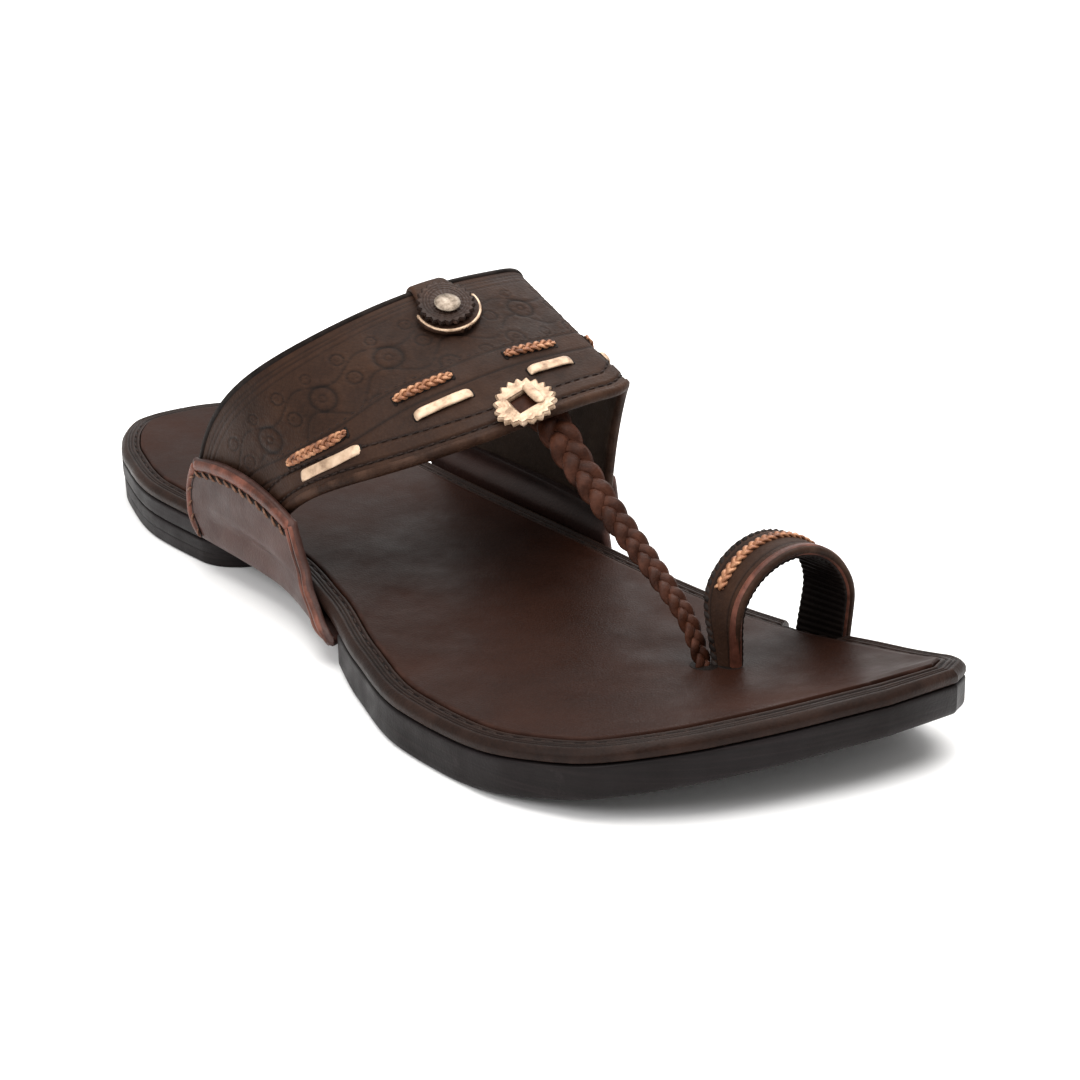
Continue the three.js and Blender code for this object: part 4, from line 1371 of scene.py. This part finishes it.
def ring_place(u, v, level):
    """A point on the ring: u is the share along it, v across it from back to front, level out from it."""
    reach = (RING["near"] - RING["far"] - RING["wall"]) / 2
    centre_x = (RING["near"] + RING["far"]) / 2
    near_foot, far_foot = SLOT_FLOOR + 0.5, float(outsole_top(239.0)) + 2 * GAP
    spring = RING["top"] - RING["wall"] / 2 - reach
    legs = (spring - near_foot, spring - far_foot)
    arch = math.pi * reach
    s = u * (sum(legs) + arch)
    angle = np.clip((s - legs[0]) / reach, 0, math.pi)
    x = centre_x + (reach + level) * np.cos(angle)
    z = spring + (reach + level) * np.sin(angle)
    z = np.where(s < legs[0], near_foot + s, z)
    z = np.where(s > legs[0] + arch, spring - (s - legs[0] - arch), z)
    back, front, turn = (monotone(RING_SHAPE["share"], RING_SHAPE[k], u) for k in ("back", "front", "turn"))
    return np.stack([x - (v - 0.5) * turn, RING["along"] - ORIGIN + mix(-back, front, v), z], -1)


def ring_grid(rows, cols, level, low=0.0, high=1.0):
    return ring_place(*shares(rows, cols, low, high), level)


def ring_line(v, level, start=0.02, end=0.99):
    """A line round the ring at share v across it. Its way up is out from the ring."""
    u = np.linspace(start, end, 160)
    centre = ring_place(u, v, level)
    out = ring_place(u, v, level + 1.0) - centre
    legs = np.abs(out[:, 2]) < 0.02
    out[legs] = np.sign(out[legs]) * (1, 0, 0)
    return Line(centre, out)


def rope(line, swing, thick, pitch):
    """Two strands laid round each other."""
    s = np.linspace(0, line.length, int(line.length / 0.4))
    shapes = []
    for phase in (0, math.pi):
        angle = 2 * math.pi * s / pitch + phase
        centre = line.place(s, swing * np.cos(angle), swing * np.sin(angle))
        shapes.append(tube(Line(centre, line.at(line.up, s)), thick, thick, step=0.4, sides=6))
    return joined(shapes)


RING_GROOVES = (0.16, 0.74)  # shares across the ring
RING_RIBS = 44
RING_BRAID = {"width": 0.85, "height": 0.36, "period": 5.2, "lift": 0.30, "wide": 0.60, "high": 0.38}


def build_toe_ring():
    """The ring's outer leather, ribbed lining, front roll, back piping and gold braid."""
    rows, cols = 180, 40
    _, v = shares(rows, cols)
    relief = -sum(0.18 * bell(v - at, 0.022) for at in RING_GROOVES)
    face = leather(ring_grid(rows, cols, 0.45), 1.7, relief=relief, flip=True)
    add("toe_ring_leather", face, leather_band, ["toe_ring"],
        shade=upper_shade(face, relief, 4, 0.8))
    rows, cols = 320, 20
    u, _ = shares(rows, cols)
    ribs = leather(ring_grid(rows, cols, -0.85, 0.03, 0.97), 0.9,
                   relief=0.12 * np.sin(2 * math.pi * RING_RIBS * u))
    add("toe_ring_lining", ribs, leather_black_and_shade)
    add("toe_ring_front_roll", tube(ring_line(0.93, 0.3), 1.35, 1.35), leather_red)
    piping = rope(ring_line(0.03, 0.5), 0.5, 0.72, 3.4)
    add("toe_ring_back_piping", piping, leather_black_and_shade)
    braid = plait(ring_line(0.36, 1.15, 0.26, 0.90), **RING_BRAID, step=0.3)
    add("toe_ring_gold_braid", braid, gold_copper)


build_toe_ring()


# ---- stage, light and camera ----
FLOOR_HALF = 6.0


def floor():
    corners = [(x * FLOOR_HALF, y * FLOOR_HALF, 0) for x, y in ((-1, -1), (1, -1), (1, 1), (-1, 1))]
    mesh = bpy.data.meshes.new("floor")
    mesh.from_pydata(corners, [], [(0, 1, 2, 3)])
    n = Nodes("floor_pale")
    tone = n.ramp(n.noise(0.6, detail=2.0), (0.3, (0.90, 0.90, 0.905)), (0.7, (0.93, 0.93, 0.93)))
    n.finish(tone, n.ramp(n.noise(2.0), (0.3, 0.75), (0.7, 0.85)), Specular_IOR_Level=0.1)
    mesh.materials.append(n.material)
    plane = bpy.data.objects.new("floor", mesh)
    bpy.context.collection.objects.link(plane)


def area_light(name, place, target, size, power, colour=(1, 1, 1)):
    light = bpy.data.lights.new(name, "AREA")
    light.shape = "DISK"
    light.size = size
    light.energy = power
    light.color = colour
    lamp = bpy.data.objects.new(name, light)
    bpy.context.collection.objects.link(lamp)
    aim(lamp, place, target)


def aim(obj, place, target, up=(0.0, 0.0, 1.0)):
    """Puts obj at place, looking at target, with up as near to upright as that allows."""
    back = unit(np.subtract(place, target))
    right = unit(np.cross(up, back))
    turn = np.stack([right, np.cross(back, right), back], 1)
    obj.matrix_world = Matrix([[*row, at] for row, at in zip(turn.tolist(), place)] + [[0, 0, 0, 1]])


floor()
MIDDLE = (0.0, 0.098, 0.03)
area_light("top", (-0.15, 0.15, 1.5), MIDDLE, 2.0, 40.0, (1.0, 0.985, 0.96))
area_light("key", (1.1, 0.3, 0.9), MIDDLE, 0.7, 9.0)
area_light("back", (-0.9, -0.6, 0.8), MIDDLE, 0.9, 6.0)
world = bpy.data.worlds.new("studio")
world.use_nodes = True
background = world.node_tree.nodes["Background"].inputs
background["Color"].default_value = (1.0, 0.985, 0.965, 1)
background["Strength"].default_value = 0.62
bpy.context.scene.world = world

camera_data = bpy.data.cameras.new("camera")
camera_data.sensor_width = 36.0
camera_data.lens = 76.0
camera_data.clip_start = 0.01
camera = bpy.data.objects.new("camera", camera_data)
bpy.context.collection.objects.link(camera)
aim(camera, (0.2631, 0.5367, 0.2055), (-0.0129, 0.1279, 0.022), up=(-0.21494, -0.28062, 0.93544))
bpy.context.scene.camera = camera
bpy.context.scene.view_settings.view_transform = "Standard"
